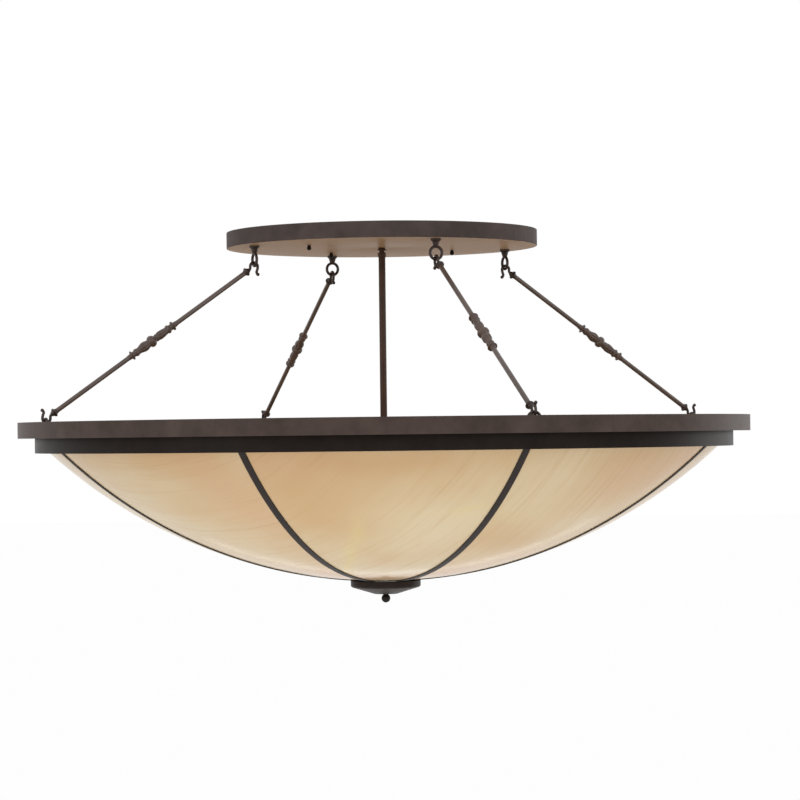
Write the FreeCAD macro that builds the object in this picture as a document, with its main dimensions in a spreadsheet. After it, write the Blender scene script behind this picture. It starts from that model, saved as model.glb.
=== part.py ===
import FreeCAD, Part
import math
import os

import Sketcher

# A wide bowl of eight bent glass panels in a round steel frame, hung close under the ceiling.
# A flat round canopy carries four eyes and a centre stem; four hooked rods run from the eyes to
# four more eyes on the frame. The origin is the middle of the canopy where it meets the ceiling,
# +Z is up, -Y is the front, and every size is in millimetres.

SHEET = "dimensions"

DIMENSIONS = [
    # the two bands of the frame
    ("ring_radius", 914.4),
    ("band_thickness", 3.2),
    ("upper_band_height", 39.6),
    ("lower_band_radius", 872.3),
    ("lower_band_height", 36.6),
    ("step_inner_radius", 846.0),
    ("lip_inner_radius", 844.0),
    # the canopy and what holds it to the ceiling
    ("canopy_radius", 390.0),
    ("canopy_height", 39.5),
    ("canopy_wall", 2.0),
    ("canopy_floor_thickness", 3.0),
    ("canopy_edge_round", 1.2),
    ("bracket_reach", 250.0),
    ("bracket_width", 40.0),
    ("bracket_thickness", 6.0),
    ("wire_hole_radius", 20.0),
    ("ceiling_screw_circle", 150.0),
    ("ceiling_screw_hole", 4.25),
    ("stud_circle", 222.0),
    ("stud_radius", 2.1),
    ("stud_below_floor", 8.0),
    ("knob_radius", 5.5),
    # the drop from the canopy's underside to the top of the frame, and the centre stem
    ("hanging_drop", 430.4),
    ("stem_radius", 8.57),
    ("stem_wall", 1.6),
    ("nipple_radius", 6.6),
    ("stem_flange_radius", 11.5),
    ("stem_flange_height", 7.2),
    ("coupling_radius", 10.3),
    ("coupling_top", 12.2),
    ("coupling_height", 12.6),
    # the eyes, hooks and rods of the four hangers
    ("upper_eye_circle", 340.5),
    ("upper_eye_drop", 50.0),
    ("lower_eye_circle", 877.6),
    ("lower_eye_rise", 7.4),
    ("eye_wire", 3.6),
    ("eye_stud", 3.0),
    ("eye_ring_radius", 15.5),
    ("eye_flange_radius", 12.8),
    ("eye_flange_height", 6.2),
    ("hook_wire", 3.45),
    ("hook_bend", 9.8),
    ("hook_knee_bend", 8.0),
    ("hook_tail_bend", 26.0),
    ("hook_curl_bend", 6.5),
    ("hook_slack", 0.55),
    ("hook_collar_at", 26.5),
    ("hook_collar_radius", 10.8),
    ("rod_radius", 5.8),
    ("rod_bore", 3.4),
    ("spindle_upper_end", 78.0),
    ("spindle_lower_end", 72.0),
    ("spindle_socket", 16.0),
    ("disc_radius", 12.0),
    ("bead_radius", 14.8),
    # the bowl
    ("rim_radius", 835.0),
    ("bowl_depth", 329.0),
    ("glass_thickness", 4.0),
    ("glass_hole", 28.0),
    ("panel_angle", 44.88),
    ("rib_width", 19.0),
    ("rib_thickness", 2.8),
    ("rib_gap", 0.3),
    ("rib_start", 32.0),
    ("rib_tab_end", 862.0),
    # the spider that ties the frame to the stem
    ("arm_size", 20.0),
    ("arm_wall", 2.0),
    ("arm_start", 30.0),
    ("arm_end", 866.0),
    ("hub_radius", 65.0),
    ("hub_thickness", 5.0),
    ("bolt_radius", 4.0),
    ("inner_bolt_circle", 46.0),
    ("outer_bolt_circle", 856.5),
    ("cup_radius", 30.0),
    ("cup_depth", 42.0),
    # the bottom plate and the finial
    ("plate_radius", 55.0),
    ("plate_thickness", 3.0),
    ("cap_radius", 88.0),
    ("cap_rim_height", 16.4),
    ("cap_cone_height", 17.9),
    ("cap_foot_radius", 29.0),
    ("cap_wall", 1.8),
    ("spigot_radius", 5.0),
    ("running_gap", 0.05),
    ("ball_radius", 11.1),
    # the lamps
    ("lamp_circle", 420.0),
    ("lamp_hub_radius", 50.0),
    ("lamp_hub_height", 24.0),
    ("lamp_arm_radius", 5.0),
    ("lamp_arm_bore", 3.5),
    ("lamp_arm_bend", 25.0),
    ("holder_radius", 18.0),
    ("holder_height", 50.0),
    ("screw_shell_radius", 13.0),
    ("screw_shell_length", 24.0),
    ("bulb_radius", 30.0),
    ("bulb_height", 86.0),
    ("bulb_wall", 1.2),
]

FRONT_RIGHT_RIB = -67.5      # turn about Z from +X to the first rib, in degrees
HANGER_SIDES = ["front_right", "back_right", "back_left", "front_left"]
PANEL_COUNT = 8
LAMP_COUNT = 8
FIRST_ARM = -22.5
FIRST_LAMP = -90.0
FIRST_STUD = -54.0


class Size:
    """A length that carries its number and its formula on the sheet."""

    def __init__(self, value, formula):
        self.value = float(value)
        self.formula = formula

    @staticmethod
    def of(other):
        return other if isinstance(other, Size) else Size(other, "%.9g" % other)

    def joined(self, other, sign, value):
        return Size(value, "(%s %s %s)" % (self.formula, sign, other.formula))

    def __add__(self, other):
        other = Size.of(other)
        return self.joined(other, "+", self.value + other.value)

    def __sub__(self, other):
        other = Size.of(other)
        return self.joined(other, "-", self.value - other.value)

    def __mul__(self, other):
        other = Size.of(other)
        return self.joined(other, "*", self.value * other.value)

    def __truediv__(self, other):
        other = Size.of(other)
        return self.joined(other, "/", self.value / other.value)

    def __radd__(self, other):
        return Size.of(other) + self

    def __rsub__(self, other):
        return Size.of(other) - self

    def __rmul__(self, other):
        return Size.of(other) * self

    def __neg__(self):
        return 0 - self

    def root(self):
        return Size(math.sqrt(self.value), "sqrt(%s)" % self.formula)


class Bend:
    """Marks the next stretch of an outline as an arc; left turns run counter-clockwise."""

    def __init__(self, radius, left=True):
        self.radius = Size.of(radius)
        self.left = left


doc = FreeCAD.newDocument("ceiling_light")
sheet = doc.addObject("Spreadsheet::Sheet", SHEET)
size = {}
for row, (alias, number) in enumerate(DIMENSIONS, start=1):
    sheet.set("A%d" % row, alias)
    sheet.set("B%d" % row, str(number))
    sheet.setAlias("B%d" % row, alias)
    size[alias] = Size(number, "%s.%s" % (SHEET, alias))
doc.recompute()

# Levels, measured down from the ceiling.
CEILING = Size.of(0)
CANOPY_FLOOR = CEILING - size["canopy_height"]
RING_TOP = CANOPY_FLOOR - size["hanging_drop"]
STEP_LEVEL = RING_TOP - size["upper_band_height"]
STEP_TOP = STEP_LEVEL + size["band_thickness"]
LOWER_EDGE = STEP_LEVEL - size["lower_band_height"]
LIP_TOP = LOWER_EDGE + size["band_thickness"]
BOWL_BOTTOM = LOWER_EDGE - size["bowl_depth"]
# The bowl is the cap of a sphere that passes through its rim and its lowest point.
GLASS_SPHERE = ((size["rim_radius"] * size["rim_radius"] + size["bowl_depth"] * size["bowl_depth"])
                / (2 * size["bowl_depth"]))
SPHERE_CENTRE = BOWL_BOTTOM + GLASS_SPHERE
GLASS_TOP = LIP_TOP + 8
RIB_INSIDE = GLASS_SPHERE + size["rib_gap"]
RIB_OUTSIDE = RIB_INSIDE + size["rib_thickness"]
HUB_TOP = STEP_TOP
HUB_BOTTOM = HUB_TOP - size["hub_thickness"]
PLATE_TOP = SPHERE_CENTRE - RIB_OUTSIDE - 0.2
PLATE_BOTTOM = PLATE_TOP - size["plate_thickness"]
CAP_TOP = BOWL_BOTTOM - 0.5
CAP_FOOT = CAP_TOP - size["cap_rim_height"] - size["cap_cone_height"]
BALL_CENTRE = CAP_FOOT - size["ball_radius"]
LAMP_HUB_TOP = BOWL_BOTTOM + 199
LAMP_ARM_LEVEL = LAMP_HUB_TOP - size["lamp_hub_height"] / 2
HOLDER_FOOT = LAMP_ARM_LEVEL + size["lamp_arm_bend"] + 15
HOLDER_TOP = HOLDER_FOOT + size["holder_height"]

# The hanger's two bars: the bottom of the upper eye and the top of the lower eye.
UPPER_BAR = CANOPY_FLOOR - size["upper_eye_drop"]
LOWER_BAR = RING_TOP + size["lower_eye_rise"]
HANGER_RUN = size["lower_eye_circle"] - size["upper_eye_circle"]
HANGER_FALL = UPPER_BAR - LOWER_BAR
HANGER_LENGTH = (HANGER_RUN * HANGER_RUN + HANGER_FALL * HANGER_FALL).root()
HANGER_SLOPE = math.degrees(math.atan2(HANGER_FALL.value, HANGER_RUN.value))

finished = []


def keep(thing, label):
    """Gives a finished sub-part its name and puts it on the list that is written out."""
    thing.Label = label
    finished.append(thing)
    return thing


def bind(thing, prop, value):
    """Sets a property now and ties it to its formula."""
    value = Size.of(value)
    if prop in thing.PropertiesList:
        setattr(thing, prop, value.value)
    thing.setExpression(prop, value.formula)


def turn(angle):
    """The placement of a piece turned about the fixture's upright axis."""
    return FreeCAD.Placement(FreeCAD.Vector(0, 0, 0), FreeCAD.Rotation(FreeCAD.Vector(0, 0, 1), angle))


def new_body(name):
    return doc.addObject("PartDesign::Body", name)


def origin_plane(body, role):
    return next(f for f in body.Origin.OriginFeatures if f.Role == role)


def new_sketch(body, role, height=0):
    """A sketch on one of the body's own origin planes, lifted by height along its normal."""
    sketch = body.newObject("Sketcher::SketchObject", body.Name + "_sketch")
    sketch.AttachmentSupport = (origin_plane(body, role), "")
    sketch.MapMode = "FlatFace"
    if not isinstance(height, (int, float)) or height:
        sketch.setExpression("AttachmentOffset.Base.z", Size.of(height).formula)
    return sketch


def pin_point(sketch, geometry, end, point):
    """Dimensions one corner of an outline from the sketch's origin."""
    for kind, coordinate, axis in (("DistanceX", point[0], -2), ("DistanceY", point[1], -1)):
        coordinate = Size.of(coordinate)
        if abs(coordinate.value) < 1e-9:
            sketch.addConstraint(Sketcher.Constraint("PointOnObject", geometry, end, axis))
            continue
        number = sketch.addConstraint(
            Sketcher.Constraint(kind, -1, 1, geometry, end, coordinate.value))
        sketch.setExpression("Constraints[%d]" % number, coordinate.formula)


def arc_between(start, end, bend):
    """The shorter arc from start to end, and which of its ends is the start."""
    middle = (start + end) * 0.5
    chord = end - start
    rise = math.sqrt(max(bend.radius.value ** 2 - (chord.Length / 2) ** 2, 0))
    left = FreeCAD.Vector(-chord.y, chord.x, 0).normalize()
    centre = middle + left * (rise if bend.left else -rise)
    first, last = (start, end) if bend.left else (end, start)
    angles = [math.atan2(p.y - centre.y, p.x - centre.x) for p in (first, last)]
    if angles[1] < angles[0]:
        angles[1] += 2 * math.pi
    circle = Part.Circle(centre, FreeCAD.Vector(0, 0, 1), bend.radius.value)
    return Part.ArcOfCircle(circle, angles[0], angles[1]), (1, 2) if bend.left else (2, 1)


def draw(sketch, outline, closed=True):
    """Draws a chain of lines and arcs through dimensioned corners."""
    corners = [item for item in outline if not isinstance(item, Bend)]
    bends = [None] * len(corners)
    seen = 0
    for item in outline:
        if isinstance(item, Bend):
            bends[seen - 1] = item
        else:
            seen += 1
    spots = [FreeCAD.Vector(Size.of(x).value, Size.of(y).value, 0) for x, y in corners]
    stretches = len(corners) if closed else len(corners) - 1
    drawn = []
    for i in range(stretches):
        start, end = spots[i], spots[(i + 1) % len(spots)]
        if bends[i] is None:
            shape, ends = Part.LineSegment(start, end), (1, 2)
        else:
            shape, ends = arc_between(start, end, bends[i])
        drawn.append((sketch.addGeometry(shape, False), ends))
    for i in range(stretches if closed else stretches - 1):
        here, after = drawn[i], drawn[(i + 1) % stretches]
        sketch.addConstraint(
            Sketcher.Constraint("Coincident", here[0], here[1][1], after[0], after[1][0]))
    for i, (geometry, ends) in enumerate(drawn):
        pin_point(sketch, geometry, ends[0], corners[i])
    if not closed:
        pin_point(sketch, drawn[-1][0], drawn[-1][1][1], corners[-1])
    for (geometry, ends), bend in zip(drawn, bends):
        if bend is not None:
            number = sketch.addConstraint(
                Sketcher.Constraint("Radius", geometry, bend.radius.value))
            sketch.setExpression("Constraints[%d]" % number, bend.radius.formula)
    return sketch


def draw_circle(sketch, x, y, radius):
    x, y, radius = Size.of(x), Size.of(y), Size.of(radius)
    spot = FreeCAD.Vector(x.value, y.value, 0)
    geometry = sketch.addGeometry(Part.Circle(spot, FreeCAD.Vector(0, 0, 1), radius.value), False)
    pin_point(sketch, geometry, 3, (x, y))
    number = sketch.addConstraint(Sketcher.Constraint("Radius", geometry, radius.value))
    sketch.setExpression("Constraints[%d]" % number, radius.formula)


def turned(name, outline, angle=360):
    """A body turned about Z from its half section, given as (radius, height) corners."""
    body = new_body(name)
    sketch = draw(new_sketch(body, "XZ_Plane"), outline)
    revolution = body.newObject("PartDesign::Revolution", name + "_turned")
    revolution.Profile = sketch
    revolution.ReferenceAxis = (sketch, ["V_Axis"])
    bind(revolution, "Angle", angle)
    revolution.Midplane = True
    return body


def pad_of(body, sketch, length, both_ways=False):
    pad = body.newObject("PartDesign::Pad", body.Name + "_pad")
    pad.Profile = sketch
    bind(pad, "Length", length)
    pad.Midplane = both_ways
    return pad


def drill(body, spots, radius, role="XY_Plane"):
    """Drills straight holes through the body, square to one of its origin planes."""
    doc.recompute()
    before = body.Shape.Volume
    sketch = new_sketch(body, role)
    for x, y in spots:
        draw_circle(sketch, x, y, radius)
    pocket = body.newObject("PartDesign::Pocket", body.Name + "_holes")
    pocket.Profile = sketch
    pocket.Type = "ThroughAll"
    pocket.Midplane = True
    doc.recompute()
    if not body.Shape.Volume < before:
        raise RuntimeError("the holes of %s cut nothing" % body.Name)
    return pocket


def around_spots(radius, count, first=0.0):
    """Evenly spaced (x, y) spots on a circle."""
    spots = []
    for i in range(count):
        angle = math.radians(first + 360.0 * i / count)
        spots.append((radius * math.cos(angle), radius * math.sin(angle)))
    return spots


def set_round(label, makers):
    """One node that holds several like pieces as separate solids."""
    group = doc.addObject("Part::Compound", label)
    group.Links = makers
    return keep(group, label)


def ring_outline(inner, outer, low, high):
    return [(inner, low), (outer, low), (outer, high), (inner, high)]


def part_cylinder(name, radius, height, level, x=0):
    cylinder = doc.addObject("Part::Cylinder", name)
    bind(cylinder, "Radius", radius)
    bind(cylinder, "Height", height)
    bind(cylinder, "Placement.Base.x", x)
    bind(cylinder, "Placement.Base.z", level)
    return cylinder


def part_cone(name, low_radius, high_radius, height, level, x=0):
    cone = doc.addObject("Part::Cone", name)
    bind(cone, "Radius1", low_radius)
    bind(cone, "Radius2", high_radius)
    bind(cone, "Height", height)
    bind(cone, "Placement.Base.x", x)
    bind(cone, "Placement.Base.z", level)
    return cone


def joined(name, shapes):
    fuse = doc.addObject("Part::MultiFuse", name)
    fuse.Shapes = shapes
    fuse.Refine = False
    return fuse


def hex_nut(name, across_flats, bore, height, level, x=0):
    """A plain six-sided nut with its lower face at a level."""
    prism = doc.addObject("Part::Prism", name + "_blank")
    prism.Polygon = 6
    bind(prism, "Circumradius", Size.of(across_flats) / math.sqrt(3))
    bind(prism, "Height", height)
    bind(prism, "Placement.Base.x", x)
    bind(prism, "Placement.Base.z", level)
    hole = part_cylinder(name + "_hole", bore, Size.of(height) + 2, level - 1, x)
    nut = doc.addObject("Part::Cut", name)
    nut.Base = prism
    nut.Tool = hole
    return nut


def make_canopy():
    """The round pan against the ceiling: a floor, a rim and a rounded lower corner."""
    outer, wall = size["canopy_radius"], size["canopy_wall"]
    floor_top = CANOPY_FLOOR + size["canopy_floor_thickness"]
    corner = size["canopy_edge_round"]
    body = turned("canopy_pan", [
        (0, CANOPY_FLOOR), (outer - corner, CANOPY_FLOOR), Bend(corner),
        (outer, CANOPY_FLOOR + corner), (outer, CEILING), (outer - wall, CEILING),
        (outer - wall, floor_top), (0, floor_top)])
    drill(body, [(0, 0)], size["nipple_radius"] + 0.2)
    drill(body, around_spots(size["stud_circle"], 4, FIRST_STUD), size["stud_radius"] + 0.3)
    drill(body, around_spots(size["upper_eye_circle"], 4, FRONT_RIGHT_RIB), size["eye_stud"] + 0.1)
    return keep(body, "canopy_pan")


def make_bracket():
    """The flat steel cross that is screwed to the ceiling inside the canopy."""
    reach, half = size["bracket_reach"], size["bracket_width"] / 2
    corners = []
    for along, across in (((1, 0), (0, 1)), ((0, 1), (-1, 0)), ((-1, 0), (0, -1)), ((0, -1), (1, 0))):
        for out, side in ((reach, -1), (reach, 1), (half, 1)):
            corners.append((out * along[0] + half * (side * across[0]),
                            out * along[1] + half * (side * across[1])))
    body = new_body("ceiling_bracket")
    thickness = size["bracket_thickness"]
    sketch = draw(new_sketch(body, "XY_Plane", CEILING - thickness), corners)
    pad_of(body, sketch, thickness)
    drill(body, [(0, 0)], size["wire_hole_radius"])
    drill(body, around_spots(size["stud_circle"], 4), size["stud_radius"] + 0.05)
    drill(body, around_spots(size["ceiling_screw_circle"], 4), size["ceiling_screw_hole"])
    body.Placement = turn(FIRST_STUD)
    return keep(body, "ceiling_bracket")


def make_studs():
    """Four threaded studs that hang from the bracket through the canopy's floor."""
    low = CANOPY_FLOOR - size["stud_below_floor"]
    studs = []
    for i in range(4):
        stud = part_cylinder("stud_%d" % (i + 1), size["stud_radius"], CEILING - low, low)
        place_round(stud, size["stud_circle"], FIRST_STUD + 90 * i)
        studs.append(stud)
    return set_round("bracket_studs", studs)


def place_round(thing, radius, angle):
    """Moves an upright primitive out to a circle; its formulas hold the two coordinates."""
    direction = math.radians(angle)
    bind(thing, "Placement.Base.x", radius * math.cos(direction))
    bind(thing, "Placement.Base.y", radius * math.sin(direction))


def make_knobs():
    """Four small ball knobs, screwed up the studs against the canopy's floor."""
    ball, bore = size["knob_radius"], size["stud_radius"] + size["running_gap"]
    collar = ball * 0.72
    top = CANOPY_FLOOR - 0.3
    centre = top - 1.6 - ball
    shoulder = (ball * ball - collar * collar).root()
    bore_end = top - size["stud_below_floor"] - 0.6
    for i in range(4):
        name = "canopy_knob_%d" % (i + 1)
        body = turned(name, [
            (bore, top), (bore, bore_end), (0, bore_end), (0, centre - ball),
            Bend(ball), (collar, centre + shoulder), (collar, top)])
        radius, angle = size["stud_circle"], math.radians(FIRST_STUD + 90 * i)
        bind(body, "Placement.Base.x", radius * math.cos(angle))
        bind(body, "Placement.Base.y", radius * math.sin(angle))
        keep(body, name)


def make_eye(name, upward, floor, bar, circle, stud):
    """An eye: a flange, a short tapering neck, a round wire ring and a threaded stud."""
    sign = 1 if upward else -1
    wire, ring, flange = size["eye_wire"], size["eye_ring_radius"], size["eye_flange_height"]
    centre = bar - ring if upward else bar + ring
    ring_end = centre - (ring + wire) if upward else centre + (ring + wire)
    neck = (ring_end - floor) - flange if upward else (floor - ring_end) - flange
    low = floor if upward else floor - flange
    plate = part_cylinder(name + "_flange", size["eye_flange_radius"], flange, low, circle)
    wide, narrow = size["eye_flange_radius"] * 0.76, wire * 1.9
    if upward:
        cone = part_cone(name + "_neck", wide, narrow, neck + 2, floor + flange, circle)
    else:
        cone = part_cone(name + "_neck", narrow, wide, neck + 2, floor - flange - neck - 2, circle)
    torus = doc.addObject("Part::Torus", name + "_ring")
    bind(torus, "Radius1", ring)
    bind(torus, "Radius2", wire)
    torus.Placement = FreeCAD.Placement(
        FreeCAD.Vector(0, 0, 0), FreeCAD.Rotation(FreeCAD.Vector(0, 1, 0), 90))
    bind(torus, "Placement.Base.x", circle)
    bind(torus, "Placement.Base.z", centre)
    screw_low = floor - stud if sign > 0 else floor
    screw = part_cylinder(name + "_screw", size["eye_stud"], stud, screw_low, circle)
    return joined(name, [plate, cone, torus, screw])


def make_eyes():
    """The four eyes under the canopy and the four on the frame's ledge."""
    upper, lower = [], []
    for i, side in enumerate(HANGER_SIDES):
        angle = FRONT_RIGHT_RIB + 90 * i
        eye = make_eye("upper_eye_" + side, False, CANOPY_FLOOR, UPPER_BAR,
                       size["upper_eye_circle"], size["canopy_floor_thickness"] + 12)
        eye.Placement = turn(angle)
        upper.append(eye)
        eye = make_eye("lower_eye_" + side, True, STEP_TOP, LOWER_BAR,
                       size["lower_eye_circle"], size["band_thickness"])
        eye.Placement = turn(angle)
        lower.append(eye)
    set_round("upper_eyes", upper)
    set_round("lower_eyes", lower)


def make_eye_nuts():
    nuts = []
    level = CANOPY_FLOOR + size["canopy_floor_thickness"]
    for i in range(4):
        nut = hex_nut("eye_nut_%d" % (i + 1), 10.0, size["eye_stud"], 5.0, level,
                      size["upper_eye_circle"])
        nut.Placement = turn(FRONT_RIGHT_RIB + 90 * i)
        nuts.append(nut)
    return set_round("eye_nuts", nuts)


def make_stem():
    """Nipple, flange, coupling and tube, from inside the canopy down through the spider's hub."""
    nipple, wall = size["nipple_radius"], size["stem_wall"]
    floor_top = CANOPY_FLOOR + size["canopy_floor_thickness"]
    coupling_top = CANOPY_FLOOR - size["coupling_top"]
    coupling_low = coupling_top - size["coupling_height"]
    keep(turned("stem_nipple", ring_outline(
        nipple - wall, nipple, coupling_top - 6, floor_top + 12)), "stem_nipple")
    flange_low = CANOPY_FLOOR - size["stem_flange_height"]
    keep(turned("stem_flange", [
        (nipple, CANOPY_FLOOR), (nipple, flange_low), (size["stem_flange_radius"], flange_low),
        (size["stem_flange_radius"], flange_low + 2.4), (nipple + 2, flange_low + 4),
        (nipple + 2, CANOPY_FLOOR)]), "stem_flange")
    outer = size["coupling_radius"]
    keep(turned("stem_coupling", [
        (nipple, coupling_top), (nipple, coupling_top - 6), (size["stem_radius"], coupling_top - 6),
        (size["stem_radius"], coupling_low), (outer - 1, coupling_low), (outer, coupling_low + 1),
        (outer, coupling_top - 1), (outer - 1, coupling_top)]), "stem_coupling")
    stem_low = HUB_BOTTOM - 15
    keep(turned("centre_stem", ring_outline(
        size["stem_radius"] - wall, size["stem_radius"], stem_low, coupling_top - 6)),
        "centre_stem")
    nuts = [
        hex_nut("nipple_nut", 20.0, nipple, 5.0, floor_top),
        hex_nut("stem_nut_above", 24.0, size["stem_radius"], 6.0, HUB_TOP + 0.3),
        hex_nut("stem_nut_below", 24.0, size["stem_radius"], 6.0, HUB_BOTTOM - 6.3)]
    set_round("stem_nuts", nuts)


def sphere_level(radius, out):
    """Height of the bowl's sphere of a given radius at a distance from the axis."""
    return SPHERE_CENTRE - (radius * radius - Size.of(out) * out).root()


def sphere_out(radius, level):
    """Distance from the axis to the bowl's sphere of a given radius at a height."""
    rise = SPHERE_CENTRE - level
    return (radius * radius - rise * rise).root()


def make_frame():
    """The upper band, the flat ledge inside it and the lower band with its inner lip."""
    outer, thick = size["ring_radius"], size["band_thickness"]
    keep(turned("upper_band", ring_outline(outer - thick, outer, STEP_LEVEL, RING_TOP)),
         "upper_band")
    step = turned("step_ring", ring_outline(size["step_inner_radius"], outer - thick,
                                            STEP_LEVEL, STEP_TOP))
    drill(step, around_spots(size["lower_eye_circle"], 4, FRONT_RIGHT_RIB), size["eye_stud"])
    drill(step, around_spots(size["outer_bolt_circle"], 4, FIRST_ARM), size["bolt_radius"] + 0.2)
    keep(step, "step_ring")
    band = size["lower_band_radius"]
    lower = turned("lower_band", [
        (size["lip_inner_radius"], LOWER_EDGE), (band, LOWER_EDGE), (band, STEP_LEVEL),
        (band - thick, STEP_LEVEL), (band - thick, LIP_TOP), (size["lip_inner_radius"], LIP_TOP)])
    drill(lower, around_spots(size["rib_tab_end"] - 8, PANEL_COUNT, FRONT_RIGHT_RIB), 2.5)
    keep(lower, "lower_band")


def make_ribs():
    """Eight flat straps bent to the bowl, each with a level tab that lies on the lip."""
    tab_top = LIP_TOP + size["rib_thickness"]
    ribs = []
    for i in range(PANEL_COUNT):
        body = new_body("rib_%d" % (i + 1))
        sketch = draw(new_sketch(body, "XZ_Plane"), [
            (size["rib_start"], sphere_level(RIB_OUTSIDE, size["rib_start"])), Bend(RIB_OUTSIDE),
            (sphere_out(RIB_OUTSIDE, LIP_TOP), LIP_TOP), (size["rib_tab_end"], LIP_TOP),
            (size["rib_tab_end"], tab_top), (sphere_out(RIB_INSIDE, tab_top), tab_top),
            Bend(RIB_INSIDE, left=False),
            (size["rib_start"], sphere_level(RIB_INSIDE, size["rib_start"]))])
        pad_of(body, sketch, size["rib_width"], both_ways=True)
        drill(body, [(size["rib_tab_end"] - 8, 0), (size["plate_radius"] - 10, 0)], 2.5)
        body.Placement = turn(FRONT_RIGHT_RIB + 360.0 * i / PANEL_COUNT)
        ribs.append(body)
    return set_round("ribs", ribs)


def make_rib_screws():
    """Round-headed screws through each rib's tab and lip, and through its foot and the plate."""
    head, shank = 4.5, 2.4
    screws = []
    for i in range(PANEL_COUNT):
        angle = FRONT_RIGHT_RIB + 360.0 * i / PANEL_COUNT
        top = LIP_TOP + size["rib_thickness"]
        out = size["rib_tab_end"] - 8
        upper = joined("lip_screw_%d" % (i + 1), [
            part_cylinder("lip_shank_%d" % (i + 1), shank, top - LOWER_EDGE + 1, LOWER_EDGE, out),
            part_cone("lip_head_%d" % (i + 1), head, head * 0.6, 2.6, top, out)])
        upper.Placement = turn(angle)
        out = size["plate_radius"] - 10
        seat = sphere_level(RIB_INSIDE, out)
        lower = joined("foot_screw_%d" % (i + 1), [
            part_cylinder("foot_shank_%d" % (i + 1), shank, seat - PLATE_BOTTOM - 0.2,
                          PLATE_BOTTOM, out),
            part_cone("foot_head_%d" % (i + 1), head * 0.6, head, 2.6, PLATE_BOTTOM - 2.6, out)])
        lower.Placement = turn(angle)
        screws += [upper, lower]
    return set_round("rib_screws", screws)


def make_glass():
    """Eight bent glass panels that fill the bowl between the middles of the ribs."""
    inside = GLASS_SPHERE - size["glass_thickness"]
    hole = size["glass_hole"]
    for i in range(PANEL_COUNT):
        name = "glass_panel_%d" % (i + 1)
        body = turned(name, [
            (hole, sphere_level(GLASS_SPHERE, hole)), Bend(GLASS_SPHERE),
            (sphere_out(GLASS_SPHERE, GLASS_TOP), GLASS_TOP), (sphere_out(inside, GLASS_TOP), GLASS_TOP),
            Bend(inside, left=False), (hole, sphere_level(inside, hole))], size["panel_angle"])
        body.Placement = turn(FIRST_LAMP + 360.0 * i / PANEL_COUNT)
        keep(body, name)


def make_spider():
    """Four square arms, the hub under them, the cup under the hub and the bolts."""
    arms = []
    half, wall = size["arm_size"] / 2, size["arm_wall"]
    for i in range(4):
        body = new_body("spider_arm_%d" % (i + 1))
        sketch = new_sketch(body, "YZ_Plane", size["arm_start"])
        for reach in (half, half - wall):
            middle = STEP_TOP + half
            draw(sketch, [(0 - reach, middle - reach), (reach, middle - reach),
                          (reach, middle + reach), (0 - reach, middle + reach)])
        pad_of(body, sketch, size["arm_end"] - size["arm_start"])
        drill(body, [(size["inner_bolt_circle"], 0), (size["outer_bolt_circle"], 0)],
              size["bolt_radius"] + 0.2)
        body.Placement = turn(FIRST_ARM + 90 * i)
        arms.append(body)
    set_round("spider_arms", arms)
    hub = turned("spider_hub", ring_outline(size["stem_radius"] + size["running_gap"] * 2,
                                            size["hub_radius"], HUB_BOTTOM, HUB_TOP))
    drill(hub, around_spots(size["inner_bolt_circle"], 4, FIRST_ARM), size["bolt_radius"] + 0.2)
    keep(hub, "spider_hub")
    cup, floor = size["cup_radius"], HUB_BOTTOM - size["cup_depth"]
    bell = turned("hub_cup", [
        (size["stem_radius"], floor), (cup, floor), (cup, HUB_BOTTOM - 3),
        (size["hub_radius"] - 3, HUB_BOTTOM - 3), (size["hub_radius"] - 3, HUB_BOTTOM),
        (cup - 4, HUB_BOTTOM), (cup - 4, floor + 5), (size["stem_radius"], floor + 5)])
    drill(bell, around_spots(size["inner_bolt_circle"], 4, FIRST_ARM), size["bolt_radius"] + 0.2)
    keep(bell, "hub_cup")
    bolts = []
    arm_top = STEP_TOP + size["arm_size"]
    for i in range(4):
        for place, circle, low in (("inner", size["inner_bolt_circle"], HUB_BOTTOM - 3),
                                   ("outer", size["outer_bolt_circle"], STEP_LEVEL)):
            name = "%s_bolt_%d" % (place, i + 1)
            shank = part_cylinder(name + "_shank", size["bolt_radius"], arm_top - low + 8, low - 8,
                                  circle)
            head = hex_head(name + "_head", 13.0, 5.3, arm_top, circle)
            nut = hex_head(name + "_nut", 13.0, 6.5, low - 6.5, circle)
            bolt = joined(name, [shank, head, nut])
            bolt.Placement = turn(FIRST_ARM + 90 * i)
            bolts.append(bolt)
    set_round("arm_bolts", bolts)


def hex_head(name, across_flats, height, level, x):
    prism = doc.addObject("Part::Prism", name)
    prism.Polygon = 6
    bind(prism, "Circumradius", Size.of(across_flats) / math.sqrt(3))
    bind(prism, "Height", height)
    bind(prism, "Placement.Base.x", x)
    bind(prism, "Placement.Base.z", level)
    return prism


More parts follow.
